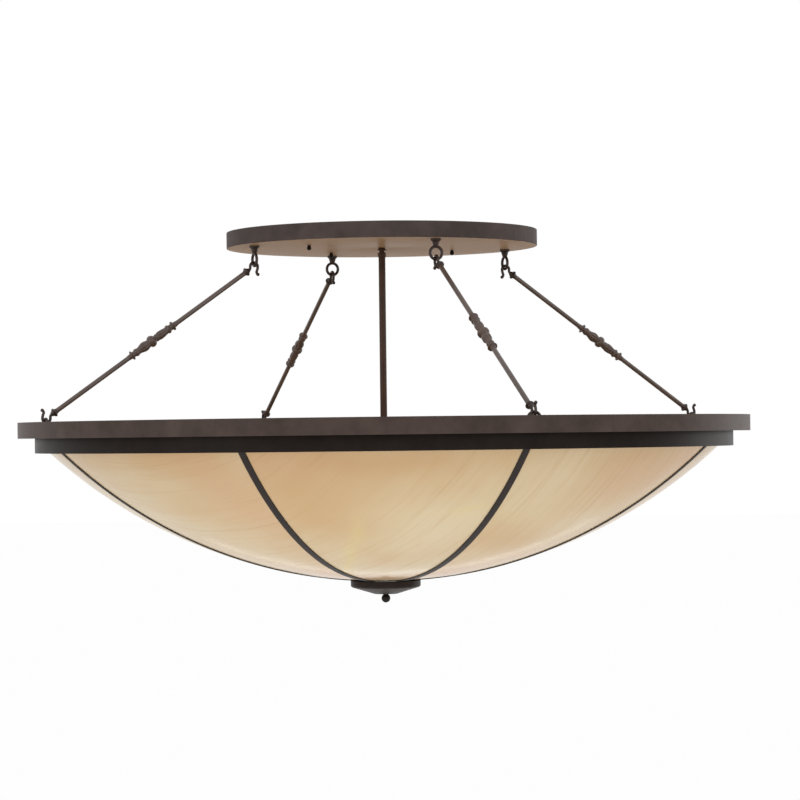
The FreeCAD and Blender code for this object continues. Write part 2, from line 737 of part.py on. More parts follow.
def make_bottom():
    """The lower stem, its jam nuts, the plate under the ribs, the cap and the ball knob."""
    stem, wall, spigot = size["stem_radius"], size["stem_wall"], size["spigot_radius"]
    cup_floor = HUB_BOTTOM - size["cup_depth"]
    shoulder = PLATE_BOTTOM - 7
    keep(turned("lower_stem", [
        (0, CAP_FOOT - 14), (spigot, CAP_FOOT - 14), (spigot, shoulder), (stem, shoulder),
        (stem, cup_floor + 13), (stem - wall, cup_floor + 13), (stem - wall, shoulder + 8),
        (0, shoulder + 8)]), "lower_stem")
    nuts = [
        hex_nut("cup_nut", 24.0, stem, 6.0, cup_floor + 5),
        hex_nut("lamp_nut", 24.0, stem, 6.0, LAMP_HUB_TOP - size["lamp_hub_height"] - 6),
        hex_nut("plate_nut", 24.0, stem, 6.0, PLATE_BOTTOM - 6)]
    set_round("lower_stem_nuts", nuts)
    plate = turned("bottom_plate", ring_outline(stem, size["plate_radius"], PLATE_BOTTOM, PLATE_TOP))
    drill(plate, around_spots(size["plate_radius"] - 10, PANEL_COUNT, FRONT_RIGHT_RIB), 2.5)
    keep(plate, "bottom_plate")
    make_cap()
    make_ball()


def make_cap():
    """The shallow turned cap that hides the plate: an upright rim, a bevel and a cone."""
    outer, wall, foot = size["cap_radius"], size["cap_wall"], size["cap_foot_radius"]
    rim_low = CAP_TOP - size["cap_rim_height"]
    bevel = 3.5
    keep(turned("finial_cap", [
        (size["spigot_radius"] + 0.3, CAP_FOOT), (foot, CAP_FOOT), (outer - bevel, rim_low - 1),
        (outer, rim_low + 2.5), (outer, CAP_TOP), (outer - wall, CAP_TOP),
        (outer - wall, rim_low + 3), (outer - bevel - wall, rim_low + 1.2),
        (foot, CAP_FOOT + wall), (size["spigot_radius"] + 0.3, CAP_FOOT + wall)]), "finial_cap")


def make_ball():
    """The ball knob that is screwed up the lower stem's spigot and holds the cap."""
    ball, bore = size["ball_radius"], size["spigot_radius"] + size["running_gap"]
    neck = ball * 0.66
    shoulder = (ball * ball - neck * neck).root()
    top = CAP_FOOT - 0.2
    bore_end = CAP_FOOT - 16
    keep(turned("finial_knob", [
        (bore, top), (bore, bore_end), (0, bore_end), (0, BALL_CENTRE - ball), Bend(ball),
        (neck, BALL_CENTRE + shoulder), (neck, top)]), "finial_knob")


def make_spindles_and_rods():
    """Each hanger's casting and its two tubes; the back castings have their full bulb uppermost."""
    middle = HANGER_LENGTH / 2
    tube_start = size["hook_collar_at"] + 2
    slim_end = middle - size["spindle_upper_end"] + size["spindle_socket"]
    full_end = middle - size["spindle_lower_end"] + size["spindle_socket"]
    for i, side in enumerate(HANGER_SIDES):
        name = "hanger_%s_spindle" % side
        flipped = side.startswith("back")
        keep(hang(turned(name, spindle_outline()), i, middle.value, flipped), name)
        upper = turned(side + "_upper_rod", ring_outline(
            size["rod_bore"], size["rod_radius"], tube_start, full_end if flipped else slim_end))
        lower = turned(side + "_lower_rod", ring_outline(
            size["rod_bore"], size["rod_radius"], tube_start, slim_end if flipped else full_end))
        hang(upper, i, 0)
        hang(lower, i, HANGER_LENGTH.value, True)
        set_round("hanger_%s_rods" % side, [upper, lower])


def spindle_outline():
    """Half section of the casting, walked down its outside from the slim bulb's end."""
    bead, disc, bore = size["bead_radius"], size["disc_radius"], size["rod_radius"] + 0.05
    upper, lower, socket = size["spindle_upper_end"], size["spindle_lower_end"], size["spindle_socket"]
    walk = [
        # mouth of the first socket, its cone, end disc, neck and ring
        (bore, 0 - upper), (6.5, 0 - upper), (7.5, -68.2), (disc - 0.8, -67.6), (disc, -66.8),
        (disc, -65.2), (disc - 0.8, -64.4), (8.0, -61.6), (7.8, -58.5), (8.6, -54.8), Bend(3.4),
        (8.6, -48.3),
        # slim bulb, small ring and waist
        (8.6, -44.5), Bend(70.0), (11.1, -29.5), Bend(24.0), (9.3, -17.8), (8.9, -17.2),
        Bend(2.0), (8.6, -13.4), (8.3, -11.6),
        # middle bead
        (9.0, -8.8), (bead - 3.2, -6.6), Bend(9.05), (bead - 3.2, 7.2), (9.6, 8.8),
        # full bulb, widest near the bead and drawn out away from it
        (9.5, 10.4), Bend(34.0), (12.2, 24.0), Bend(26.0), (10.8, 30.0), (9.3, 34.4),
        Bend(24.0, left=False), (8.3, 40.0),
        # ring, neck, end disc and the cone of the second socket
        (8.2, 43.8), Bend(4.3), (7.9, 50.6), (7.3, 53.0), (7.3, 56.8), (8.0, 58.6),
        (disc - 0.8, 59.2), (disc, 60.0), (disc, 61.2), (disc - 0.8, 62.0), (7.0, 62.8),
        (6.5, lower), (bore, lower)]
    return walk + [(bore, lower - socket), (0, lower - socket), (0, socket - upper),
                   (bore, socket - upper)]


def hang(body, side, along, flipped=False):
    """Lays an upright body along a hanger, with its foot at a distance from the upper bar."""
    lean = 90 + HANGER_SLOPE - (180 if flipped else 0)
    slope = math.radians(HANGER_SLOPE)
    out = size["upper_eye_circle"].value + along * math.cos(slope)
    level = UPPER_BAR.value - along * math.sin(slope)
    local = FreeCAD.Placement(FreeCAD.Vector(out, 0, level),
                              FreeCAD.Rotation(FreeCAD.Vector(0, 1, 0), lean))
    body.Placement = turn(FRONT_RIGHT_RIB + 90 * side).multiply(local)
    return body


def arc_on(point, heading, radius, swing):
    """Where an arc that leaves a point on a heading ends; a positive swing runs to the left."""
    before, after = math.radians(heading), math.radians(heading + swing)
    side = 1 if swing > 0 else -1
    return (point[0] + radius * (side * (math.sin(after) - math.sin(before))),
            point[1] + radius * (side * (math.cos(before) - math.cos(after))))


def hook_path():
    """The hook's wire in the upright plane of its hanger, from its collar to its tip."""
    slope = math.radians(HANGER_SLOPE)
    lean = (math.cos(slope), -math.sin(slope))
    bend, knee_bend = size["hook_bend"], size["hook_knee_bend"]
    slack = bend - size["hook_wire"] - size["eye_wire"] - size["hook_slack"]
    middle = (slack * lean[0], slack * lean[1])
    leg_out, leg_in = middle[0] + bend, middle[0] - bend
    start = size["hook_collar_at"]
    knee = leg_out / lean[0]
    cut = knee_bend * math.tan(math.radians(90 - HANGER_SLOPE) / 2)
    swing_out, swing_in = 25.0, -88.0
    waist = arc_on((leg_in, middle[1]), -90, size["hook_tail_bend"], swing_out)
    tip = arc_on(waist, swing_out - 90, size["hook_curl_bend"], swing_in)
    return [
        (start * lean[0], start * lean[1]),
        ((knee + cut) * lean[0], (knee + cut) * lean[1]), Bend(knee_bend, left=False),
        (leg_out, knee * lean[1] + cut),
        (leg_out, middle[1]), Bend(bend), (middle[0], middle[1] + bend), Bend(bend),
        (leg_in, middle[1]), Bend(size["hook_tail_bend"]),
        waist, Bend(size["hook_curl_bend"], left=False), tip]


def make_hook(name):
    """A bent wire with a ball tip, and the collar that the rod goes into."""
    path = doc.addObject("Sketcher::SketchObject", name + "_path")
    path.Placement = FreeCAD.Placement(
        FreeCAD.Vector(0, 0, 0), FreeCAD.Rotation(FreeCAD.Vector(1, 0, 0), 90))
    outline = hook_path()
    draw(path, outline, closed=False)
    start, tip = outline[0], outline[-1]
    section = doc.addObject("Part::Circle", name + "_section")
    bind(section, "Radius", size["hook_wire"])
    section.Placement = FreeCAD.Placement(
        FreeCAD.Vector(start[0].value, 0, start[1].value),
        FreeCAD.Rotation(FreeCAD.Vector(0, 1, 0), 90 + HANGER_SLOPE))
    wire = doc.addObject("Part::Sweep", name + "_wire")
    wire.Sections = [section]
    doc.recompute()
    wire.Spine = (path, ["Edge%d" % (i + 1) for i in range(len(path.Shape.Edges))])
    wire.Solid = True
    ball = doc.addObject("Part::Sphere", name + "_ball")
    bind(ball, "Radius", size["hook_wire"] + 0.75)
    bind(ball, "Placement.Base.x", tip[0])
    bind(ball, "Placement.Base.z", tip[1])
    return joined(name, [wire, ball, make_collar(name)])


def make_collar(name):
    """A disc with a cone towards the hook and a short socket towards the rod."""
    at, disc, wire = size["hook_collar_at"], size["hook_collar_radius"], size["hook_wire"]
    body = turned(name + "_collar", [
        (0, at - 10), (wire + 1, at - 10), (disc - 2.6, at - 2.4), (disc - 0.8, at - 2),
        (disc, at - 1.2), (disc, at + 1.2), (disc - 0.8, at + 2), (disc - 3.2, at + 2.6),
        (disc - 4.2, at + 7),
        (size["rod_radius"], at + 7), (size["rod_radius"], at + 2), (0, at + 2)])
    body.Placement = FreeCAD.Placement(
        FreeCAD.Vector(0, 0, 0), FreeCAD.Rotation(FreeCAD.Vector(0, 1, 0), 90 + HANGER_SLOPE))
    return body


def make_hooks():
    """The two hooks of each hanger, the lower one being the upper one turned end for end."""
    for i, side in enumerate(HANGER_SIDES):
        pair = []
        for end in ("upper", "lower"):
            hook = make_hook("%s_%s_hook" % (side, end))
            circle = size["upper_eye_circle"] if end == "upper" else size["lower_eye_circle"]
            bar = UPPER_BAR if end == "upper" else LOWER_BAR
            local = FreeCAD.Placement(
                FreeCAD.Vector(circle.value, 0, bar.value),
                FreeCAD.Rotation(FreeCAD.Vector(0, 1, 0), 0 if end == "upper" else 180))
            hook.Placement = turn(FRONT_RIGHT_RIB + 90 * i).multiply(local)
            pair.append(hook)
        set_round("hanger_%s_hooks" % side, pair)


def make_lamps():
    """The lamp hub on the lower stem, its eight bent arms, the lampholders and the bulbs."""
    hub, low = size["lamp_hub_radius"], LAMP_HUB_TOP - size["lamp_hub_height"]
    keep(turned("lamp_hub", [
        (size["stem_radius"], low), (hub - 6, low), (hub, low + 6), (hub, LAMP_HUB_TOP - 6),
        (hub - 6, LAMP_HUB_TOP), (size["stem_radius"], LAMP_HUB_TOP)]), "lamp_hub")
    arms, holders = [], []
    for i in range(LAMP_COUNT):
        angle = FIRST_LAMP + 360.0 * i / LAMP_COUNT
        arm = make_lamp_arm("lamp_arm_%d" % (i + 1))
        arm.Placement = turn(angle)
        arms.append(arm)
        holder = turned("lampholder_%d" % (i + 1), holder_outline())
        put_out(holder, size["lamp_circle"], angle)
        holders.append(holder)
        name = "bulb_%d" % (i + 1)
        keep(put_out(turned(name, bulb_outline()), size["lamp_circle"], angle), name)
    set_round("lamp_arms", arms)
    set_round("lampholders", holders)


def put_out(body, radius, angle):
    """Moves a turned body out to a circle about the fixture's axis."""
    direction = math.radians(angle)
    bind(body, "Placement.Base.x", radius * math.cos(direction))
    bind(body, "Placement.Base.y", radius * math.sin(direction))
    return body


def make_lamp_arm(name):
    """A tube that runs level from the lamp hub and turns up under its lampholder."""
    start, bend = size["lamp_hub_radius"], size["lamp_arm_bend"]
    path = doc.addObject("Sketcher::SketchObject", name + "_path")
    path.Placement = FreeCAD.Placement(
        FreeCAD.Vector(0, 0, 0), FreeCAD.Rotation(FreeCAD.Vector(1, 0, 0), 90))
    draw(path, [(start, LAMP_ARM_LEVEL), (size["lamp_circle"] - bend, LAMP_ARM_LEVEL), Bend(bend),
                (size["lamp_circle"], LAMP_ARM_LEVEL + bend), (size["lamp_circle"], HOLDER_FOOT)],
         closed=False)
    doc.recompute()
    tubes = []
    for part, radius in (("outside", size["lamp_arm_radius"]), ("inside", size["lamp_arm_bore"])):
        section = doc.addObject("Part::Circle", "%s_%s" % (name, part))
        bind(section, "Radius", radius)
        section.Placement = FreeCAD.Placement(
            FreeCAD.Vector(start.value, 0, LAMP_ARM_LEVEL.value),
            FreeCAD.Rotation(FreeCAD.Vector(0, 1, 0), 90))
        tube = doc.addObject("Part::Sweep", "%s_%s_sweep" % (name, part))
        tube.Sections = [section]
        tube.Spine = (path, ["Edge1", "Edge2", "Edge3"])
        tube.Solid = True
        tubes.append(tube)
    arm = doc.addObject("Part::Cut", name)
    arm.Base, arm.Tool = tubes
    return arm


def holder_outline():
    """A ceramic cup: a foot, an upright wall and the well that the bulb's screw shell fills."""
    outer, well = size["holder_radius"], size["screw_shell_radius"] + 0.3
    floor = HOLDER_TOP - size["screw_shell_length"] - 1
    return [(0, HOLDER_FOOT), (outer - 5, HOLDER_FOOT), (outer, HOLDER_FOOT + 14),
            (outer, HOLDER_TOP), (well, HOLDER_TOP), (well, floor), (0, floor)]


def bulb_outline():
    """A round bulb: a sealed hollow pear-shaped envelope on a screw shell."""
    shell, ball, wall = size["screw_shell_radius"], size["bulb_radius"], size["bulb_wall"]
    low = HOLDER_TOP - size["screw_shell_length"]
    top = HOLDER_TOP + size["bulb_height"]
    centre = top - ball
    inside = ball - wall
    neck_level = HOLDER_TOP + 1
    # the envelope's shoulder leaves the sphere at a slope of three across to four down
    out, down = ball * 0.8, ball * 0.6
    inner_out, inner_down = inside * 0.8, inside * 0.6
    return [
        (0, low), (shell, low), (shell, neck_level), (out, centre - down), Bend(ball),
        (0, top), (0, top - wall), Bend(inside, left=False), (inner_out, centre - inner_down),
        (shell - 3, neck_level), (shell - 3, low + 4), (0, low + 4)]


def check_and_write():
    """Stops on any failed object or bad shape, then writes one file for each sub-part."""
    doc.recompute()
    failed = [t.Name for t in doc.Objects if "Invalid" in t.State or "Error" in t.State]
    if failed:
        raise RuntimeError("did not build: " + ", ".join(failed))
    for thing in finished:
        if thing.Shape.isNull() or not thing.Shape.isValid() or not thing.Shape.Solids:
            raise RuntimeError("%s has no valid solid" % thing.Label)
    os.makedirs("parts", exist_ok=True)
    for thing in finished:
        thing.Shape.exportStep("parts/%s.step" % thing.Label)
        print("%-28s %3d solids %12.0f mm3" % (
            thing.Label, len(thing.Shape.Solids), thing.Shape.Volume))
    print("%d sub-parts, hanger slope %.2f degrees, length %.1f" % (
        len(finished), HANGER_SLOPE, HANGER_LENGTH.value))


make_canopy()
make_bracket()
make_studs()
make_knobs()
make_eyes()
make_eye_nuts()
make_stem()
make_frame()
make_ribs()
make_rib_screws()
make_glass()
make_spider()
make_bottom()
make_spindles_and_rods()
make_hooks()
make_lamps()
check_and_write()
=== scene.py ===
# %% [markdown]
# # A semi flush ceiling light with a wide art glass bowl
# A flat round canopy, a straight stem, four hooked rods and a two-step bronze frame carry eight
# bent panels of streaked glass close under the ceiling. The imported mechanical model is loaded
# first and never moved. Everything below is built on it in the same frame: the ceiling is z = 0,
# the bowl hangs down from it, and the front is -Y.

# %% Load the mechanical model
from math import acos, asin, atan2, cos, degrees, pi, radians, sin, tan

import bmesh
import bpy
import numpy as np
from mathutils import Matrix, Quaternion


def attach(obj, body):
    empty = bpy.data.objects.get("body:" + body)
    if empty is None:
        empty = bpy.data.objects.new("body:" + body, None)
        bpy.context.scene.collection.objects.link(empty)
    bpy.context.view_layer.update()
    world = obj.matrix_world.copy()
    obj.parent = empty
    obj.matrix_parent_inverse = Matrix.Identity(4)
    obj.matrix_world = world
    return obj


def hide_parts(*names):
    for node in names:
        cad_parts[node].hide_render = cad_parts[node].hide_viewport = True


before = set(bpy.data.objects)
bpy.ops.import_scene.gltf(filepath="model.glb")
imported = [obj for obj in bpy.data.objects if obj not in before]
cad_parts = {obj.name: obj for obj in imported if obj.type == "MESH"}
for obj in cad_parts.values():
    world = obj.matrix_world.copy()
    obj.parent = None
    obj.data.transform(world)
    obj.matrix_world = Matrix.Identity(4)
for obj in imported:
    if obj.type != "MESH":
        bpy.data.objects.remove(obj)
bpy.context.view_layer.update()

# %% [markdown]
# ## The sizes that several pieces share
# Lengths are in millimetres, as on a drawing, and become metres when a mesh is made. Levels are
# heights from the ceiling, so they are negative. All repeat the mechanical model's sizes, so each
# visible piece lands on its hidden counterpart.

# %% Shared sizes
MM = 0.001
CANOPY_UNDERSIDE, CANOPY_RADIUS = -39.5, 390
RING_TOP, RING_RADIUS = -469.9, 914.4
UPPER_BAND_HEIGHT, LOWER_BAND_HEIGHT, BAND = 39.6, 36.6, 3.2
STEP_LEVEL = RING_TOP - UPPER_BAND_HEIGHT
LOWER_EDGE = STEP_LEVEL - LOWER_BAND_HEIGHT
LIP_TOP = LOWER_EDGE + BAND
RIM_RADIUS, BOWL_DEPTH = 835, 329
BOWL_BOTTOM = LOWER_EDGE - BOWL_DEPTH
SPHERE = (RIM_RADIUS ** 2 + BOWL_DEPTH ** 2) / (2 * BOWL_DEPTH)
SPHERE_CENTRE = BOWL_BOTTOM + SPHERE
CAP_TOP = BOWL_BOTTOM - 0.5
CAP_FOOT = CAP_TOP - 34.3
# The bar of an eye that a hook goes over: its distance from the axis and its level.
UPPER_BAR = (340.5, CANOPY_UNDERSIDE - 50)
LOWER_BAR = (877.6, RING_TOP + 7.4)
HANGER = np.subtract(LOWER_BAR, UPPER_BAR)
HANGER_LENGTH = float(np.hypot(*HANGER))
SLOPE = atan2(-HANGER[1], HANGER[0])
FIRST_RIB, RIB_STEP, HANGER_STEP = -67.5, 45, 90
FRONT = -90
SIDES = ["front_right", "back_right", "back_left", "front_left"]
LAMP_HUB_TOP = BOWL_BOTTOM + 199
LAMP_LEVEL = LAMP_HUB_TOP - 12
LAMP_CIRCLE = 420
HOLDER_FOOT = LAMP_LEVEL + 40
HOLDER_TOP = HOLDER_FOOT + 50
print("bowl sphere %.1f mm, hanger %.1f mm at %.2f degrees" % (
    SPHERE, HANGER_LENGTH, degrees(SLOPE)))

# %% [markdown]
# ## Surfaces from grids of points
# Nearly all of this light is turned, bent or rolled, so a surface is a grid: one direction along
# a profile or path, the other round it. Poles and seams are grid points that coincide; they are
# merged, so each shell is closed.

# %% Mesh from grids
MERGE, SLIVER = 2e-6, 1e-7


def placed(name, data):
    """Makes an object of some data and puts it in the scene."""
    thing = bpy.data.objects.new(name, data)
    bpy.context.scene.collection.objects.link(thing)
    return thing


def mesh_piece(name, grids, bend_angle=35):
    """Joins grids of points (rows x columns x xyz, in mm) into one object. Each grid is closed
    across its columns, and across its rows where the last row repeats the first."""
    points, faces, start = [], [], 0
    for grid in grids:
        rows, columns = grid.shape[:2]
        index = start + np.arange(rows * columns).reshape(rows, columns)
        beside = np.roll(index, -1, axis=1)
        quads = np.stack([index[:-1], beside[:-1], beside[1:], index[1:]], axis=-1)
        points.append(grid.reshape(-1, 3) * MM)
        faces.append(quads.reshape(-1, 4))
        start += rows * columns
    mesh = bpy.data.meshes.new(name)
    mesh.from_pydata(np.concatenate(points), [], np.concatenate(faces))
    close_seams(mesh)
    mesh.polygons.foreach_set("use_smooth", np.ones(len(mesh.polygons), bool))
    mesh.set_sharp_from_angle(angle=radians(bend_angle))
    return placed(name, mesh)


def close_seams(mesh):
    """Merges the points that coincide and turns every face outwards."""
    work = bmesh.new()
    work.from_mesh(mesh)
    bmesh.ops.remove_doubles(work, verts=work.verts, dist=MERGE)
    bmesh.ops.dissolve_degenerate(work, edges=work.edges, dist=SLIVER)
    bmesh.ops.recalc_face_normals(work, faces=work.faces)
    work.to_mesh(mesh)
    work.free()

# %% [markdown]
# ## Eased corners
# Real sheet metal and castings have no razor edges, and the small radius of a corner is what
# catches the light. Profiles are written with sharp corners and then eased, so one number sets
# how soft a piece looks.

# %% Eased profiles
RUN_SHARE = 0.48


def bend(start, corner, end, t):
    """A parabola that leaves start towards the corner and reaches end from it, at shares t."""
    return (1 - t) ** 2 * start + 2 * t * (1 - t) * corner + t ** 2 * end


def eased(corners, radius, closed=False, steps=4):
    """Replaces each corner by a short parabola. It starts and ends on the two straight runs, at
    most the radius away from the corner and never past the middle of a run."""
    p = np.asarray(corners, float)
    back, ahead = np.roll(p, 1, axis=0) - p, np.roll(p, -1, axis=0) - p
    t = np.linspace(0, 1, steps + 1)[None, :, None]

    def reach(run):
        length = np.linalg.norm(run, axis=1, keepdims=True)
        return run * (np.minimum(radius, RUN_SHARE * length) / np.maximum(length, 1e-9))

    bends = bend((p + reach(back))[:, None], p[:, None], (p + reach(ahead))[:, None], t)
    if closed:
        loop = bends.reshape(-1, 2)
        return np.vstack([loop, loop[:1]])
    return np.vstack([p[:1], bends[1:-1].reshape(-1, 2), p[-1:]])


def bar(inside, outside, low, high):
    """The corners of a rectangle between two radii and two heights."""
    return [(inside, low), (outside, low), (outside, high), (inside, high)]


def circle(radius, sides=20):
    """Points at equal angles, radius times (cosine, sine)."""
    angle = np.arange(sides) * (2 * pi / sides)
    return radius * np.stack([np.cos(angle), np.sin(angle)], axis=-1)


def lathe(profile, sides=96):
    """Turns a profile of (radius, height) about the upright axis: every profile point becomes a
    ring of points at equal angles."""
    profile = np.asarray(profile, float)
    ring = np.column_stack([circle(1, sides), np.zeros(sides)])
    return profile[:, None, :1] * ring[None] + profile[:, None, 1:] * [0, 0, 1]


def turned(grid, angle):
    """Turns a grid of points by degrees about the upright axis of the light."""
    a = radians(angle)
    spin = np.array([[cos(a), -sin(a), 0], [sin(a), cos(a), 0], [0, 0, 1]])
    return grid @ spin.T


def around(shells, first, count):
    """Repeats the shells count times at equal angles, from a first one in degrees."""
    return [turned(shell, first + 360 / count * number)
            for number in range(count) for shell in shells]


def shifted(grid, x=0, y=0, z=0):
    """Adds one step to every point."""
    return grid + [x, y, z]


print("an eased square has", len(eased(bar(0, 1, 0, 1), 0.1, True)), "points")

# %% [markdown]
# ## Wires, straps and tubes
# Hooks, eyes, ribs and lamp arms are one section carried along a bent line. The line is described
# as a worker would bend it: so far straight on, then so far round to one side. Adding up small
# steps gives the points, and the section stands square to each.

# %% Bent lines and swept sections
def bent_line(start, heading, runs, step=0.4):
    """Walks through (length, turn in degrees) runs in a plane. The heading grows evenly along
    each run, and the position is the sum of the unit steps on the mean heading of each."""
    counts = [max(2, int(round(length / step))) for length, _ in runs]
    strides, swings = [np.concatenate([np.full(n, run[k] / n) for n, run in zip(counts, runs)])
                       for k in (0, 1)]
    after = radians(heading) + np.radians(np.cumsum(swings))
    middle = after - np.radians(swings) / 2
    moves = np.stack([np.cos(middle), np.sin(middle)], axis=-1) * strides[:, None]
    return np.vstack([start, start + np.cumsum(moves, axis=0)])


def arc_run(radius, turn):
    """The (length, turn) run of an arc with a radius."""
    return (radius * abs(radians(turn)), turn)


def swept(path, section, scale=None):
    """Carries a closed section (across, outward) along a line in the X-Z plane. Across is Y, and
    outward is the line's left-hand normal. scale, one number a point, swells or closes it."""
    ahead = np.gradient(path, axis=0)
    ahead /= np.linalg.norm(ahead, axis=1, keepdims=True)
    normal = np.stack([-ahead[:, 1], ahead[:, 0]], axis=-1)
    size = np.ones(len(path)) if scale is None else scale
    across = size[:, None] * section[:, 0]
    out = size[:, None] * section[:, 1]
    x = path[:, :1] + normal[:, :1] * out
    z = path[:, 1:] + normal[:, 1:] * out
    return np.stack([x, across, z], axis=-1)


def capped(path, section):
    """A swept section whose two ends are flat: the end rings close on the line itself."""
    tiny = 1e-4
    path = np.vstack([path[:1] + (path[0] - path[1]) * tiny, path,
                      path[-1:] + (path[-1] - path[-2]) * tiny])
    scale = np.ones(len(path))
    scale[[0, -1]] = 0
    return swept(path, section, scale)


print("a quarter bend ends at", bent_line((0, 0), 0, [arc_run(10, 90)])[-1].round(3))

# %% [markdown]
# ## Writing shader maths as plain sums
# Spot wraps one output socket, so that 1 - mask or cloud * 0.2 adds the Math node it stands for.
# Finish holds one material and adds every other kind of node through a single method.

# %% Shader helpers
def maths(operation, swapped=False):
    """A method that adds one Math node; swapped, for an operator's reflected form."""
    def method(self, other):
        first, second = (other, self) if swapped else (self, other)
        return self.finish.node("Math", {"operation": operation}, {
            0: first, 1: second})
    return method


class Spot:
    """One value that varies over a surface; arithmetic on it adds Math nodes."""

    def __init__(self, finish, socket):
        self.finish = finish
        self.socket = socket

    __add__, __radd__ = maths("ADD"), maths("ADD", True)
    __sub__, __rsub__ = maths("SUBTRACT"), maths("SUBTRACT", True)
    __mul__, __rmul__ = maths("MULTIPLY"), maths("MULTIPLY", True)
    __truediv__, __rtruediv__ = maths("DIVIDE"), maths("DIVIDE", True)
    larger, below = maths("MAXIMUM"), maths("LESS_THAN")


class Finish:
    """The nodes of one material, or of the sky."""

    def __init__(self, name, owner=None):
        self.owner = owner or bpy.data.materials.new(name)
        self.owner.use_nodes = True
        self.tree = self.owner.node_tree
        self.tree.nodes.clear()

    def node(self, kind, settings=None, inputs=None, out=0):
        """Adds a shader node: its settings first, a ramp's two stops among them, then sockets."""
        node = self.tree.nodes.new("ShaderNode" + kind)
        for key, value in (settings or {}).items():
            if key == "stops":
                for element, stop in zip(node.color_ramp.elements, value):
                    element.position, element.color = stop
            else:
                setattr(node, key, value)
        for key, value in (inputs or {}).items():
            if isinstance(value, Spot):
                self.tree.links.new(value.socket, node.inputs[key])
            else:
                node.inputs[key].default_value = value
        return Spot(self, node.outputs[out])

    def place(self, scale=(1, 1, 1), uv=None):
        """A point on the piece or on its own map, in metres, times a scale for each axis."""
        if uv:
            start = self.node("UVMap", {"uv_map": uv})
        else:
            start = self.node("TexCoord", out="Object")
        return self.node("Mapping", {}, {"Vector": start, "Scale": scale})

    def noise(self, where, scale, detail=3, rough=0.55, warp=0):
        """Clouds from 0 to 1 around 0.5, scale of them to the metre."""
        return self.node("TexNoise", {}, {
            "Vector": where, "Scale": scale, "Detail": detail, "Roughness": rough,
            "Distortion": warp})

    def ramp(self, value, low, high, dark=0, light=1):
        """A grey that goes from dark at low to light at high."""
        stops = [(at, (v, v, v, 1)) for at, v in ((low, dark), (high, light))]
        return self.node("ValToRGB", {"stops": stops}, {"Fac": value})

    def mix(self, factor, first, second, mode="MIX"):
        """Colours are mixed in a colour node, because a Math node would turn them grey."""
        return self.node("Mix", {"data_type": "RGBA", "blend_type": mode}, {
            0: factor, 6: first, 7: second}, out=2)

    def bump(self, height, distance):
        """Height runs from 0 to 1; distance is how deep 1 is, in metres."""
        return self.node("Bump", {}, {
            "Height": height, "Distance": distance, "Strength": 1})

    def show(self, surface, kind="OutputMaterial"):
        """Joins a shader to the output and gives back what it was made for."""
        output = self.tree.nodes.new("ShaderNode" + kind)
        self.tree.links.new(surface.socket, output.inputs["Surface"])
        return self.owner

    def shade(self, **sockets):
        """Fills a Principled shader. Names are the sockets' own, with _ for a space."""
        named = {key.replace("_", " "): value for key, value in sockets.items()}
        return self.show(self.node("BsdfPrincipled", {}, named))


def paint(red, green, blue):
    """An 8-bit screen colour as the linear colour that a shader works with."""
    c = np.array([red, green, blue]) / 255
    linear = np.where(c <= 0.04045, c / 12.92, ((c + 0.055) / 1.055) ** 2.4)
    return (*linear.tolist(), 1)


print("middle grey is", round(paint(128, 128, 128)[0], 3), "to a shader")

# %% [markdown]
# ## Dark bronze
# All the metal has a dark bronze finish, but not the same one. The bands and the canopy are
# coated: a brown with a faint mauve cast, soft clouds and a very fine grain. The castings are
# darker, with copper where they have been rubbed. One recipe makes the family. The canopy
# underside's light tan is painted light from the bowl, and the lower band's darker tone is
# painted shade under the ledge.

# %% Bronze family
COPPER = (0.13, 0.06, 0.04, 1)


def bronze(name, base, copper=0, cloud=0.16, rough=0.46, grain=0.00002, grain_scale=1100,
           gloss=0.2, brushed=None):
    """Clouds darken and lighten the base, rubbed copper shows through where a second noise is
    high, and a fine grain roughens the surface. gloss is the shader's specular level, and
    brushed stretches a noise into the lines of a brushed sheet."""
    finish = Finish(name)
    where = finish.place()
    soft = finish.noise(where, 14, 4, 0.6)
    fine = finish.noise(where, grain_scale, 2, 0.5)
    base = np.array(paint(*base)[:3])
    light = (*np.minimum(1, base * (1 + cloud * 2.2)), 1)
    dark = (*(base * (1 - cloud * 1.6)), 1)
    colour = finish.mix(finish.ramp(soft, 0.3, 0.7), dark, light)
    if brushed:
        stretched = finish.noise(finish.place(scale=brushed), 9, 5, 0.6)
        lines = finish.ramp(stretched, 0.35, 0.65)
        colour = finish.mix(lines * 0.12, colour, light)
    if copper:
        worn = finish.noise(where, 120, 4, 0.65)
        patch = finish.ramp(worn, 0.5, 0.68) * copper
        colour = finish.mix(patch, colour, COPPER)
    speck = finish.ramp(fine, 0.35, 0.75)
    colour = finish.mix(speck * 0.25, colour, light)
    return finish.shade(
        Base_Color=colour, Specular_IOR_Level=gloss, Normal=finish.bump(fine, grain),
        Roughness=rough + (soft - 0.5) * 0.18 + speck * 0.06)


band_bronze = bronze("band_bronze", (75, 63, 58), rough=0.42, gloss=0.08)
canopy_bronze = bronze("canopy_bronze", (84, 74, 71), rough=0.55, gloss=0.05)
# Painted light: the underside's light warm tan stands in for the bowl's glow reflected onto the
# same paint; the brushed lines are its real texture.
underside_glow_bronze = bronze("underside_glow_bronze", (203, 174, 146), cloud=0.05, rough=0.3, gloss=0.003,
                      brushed=(0.6, 9, 1))
ledge_bronze = bronze("ledge_bronze", (56, 46, 42))
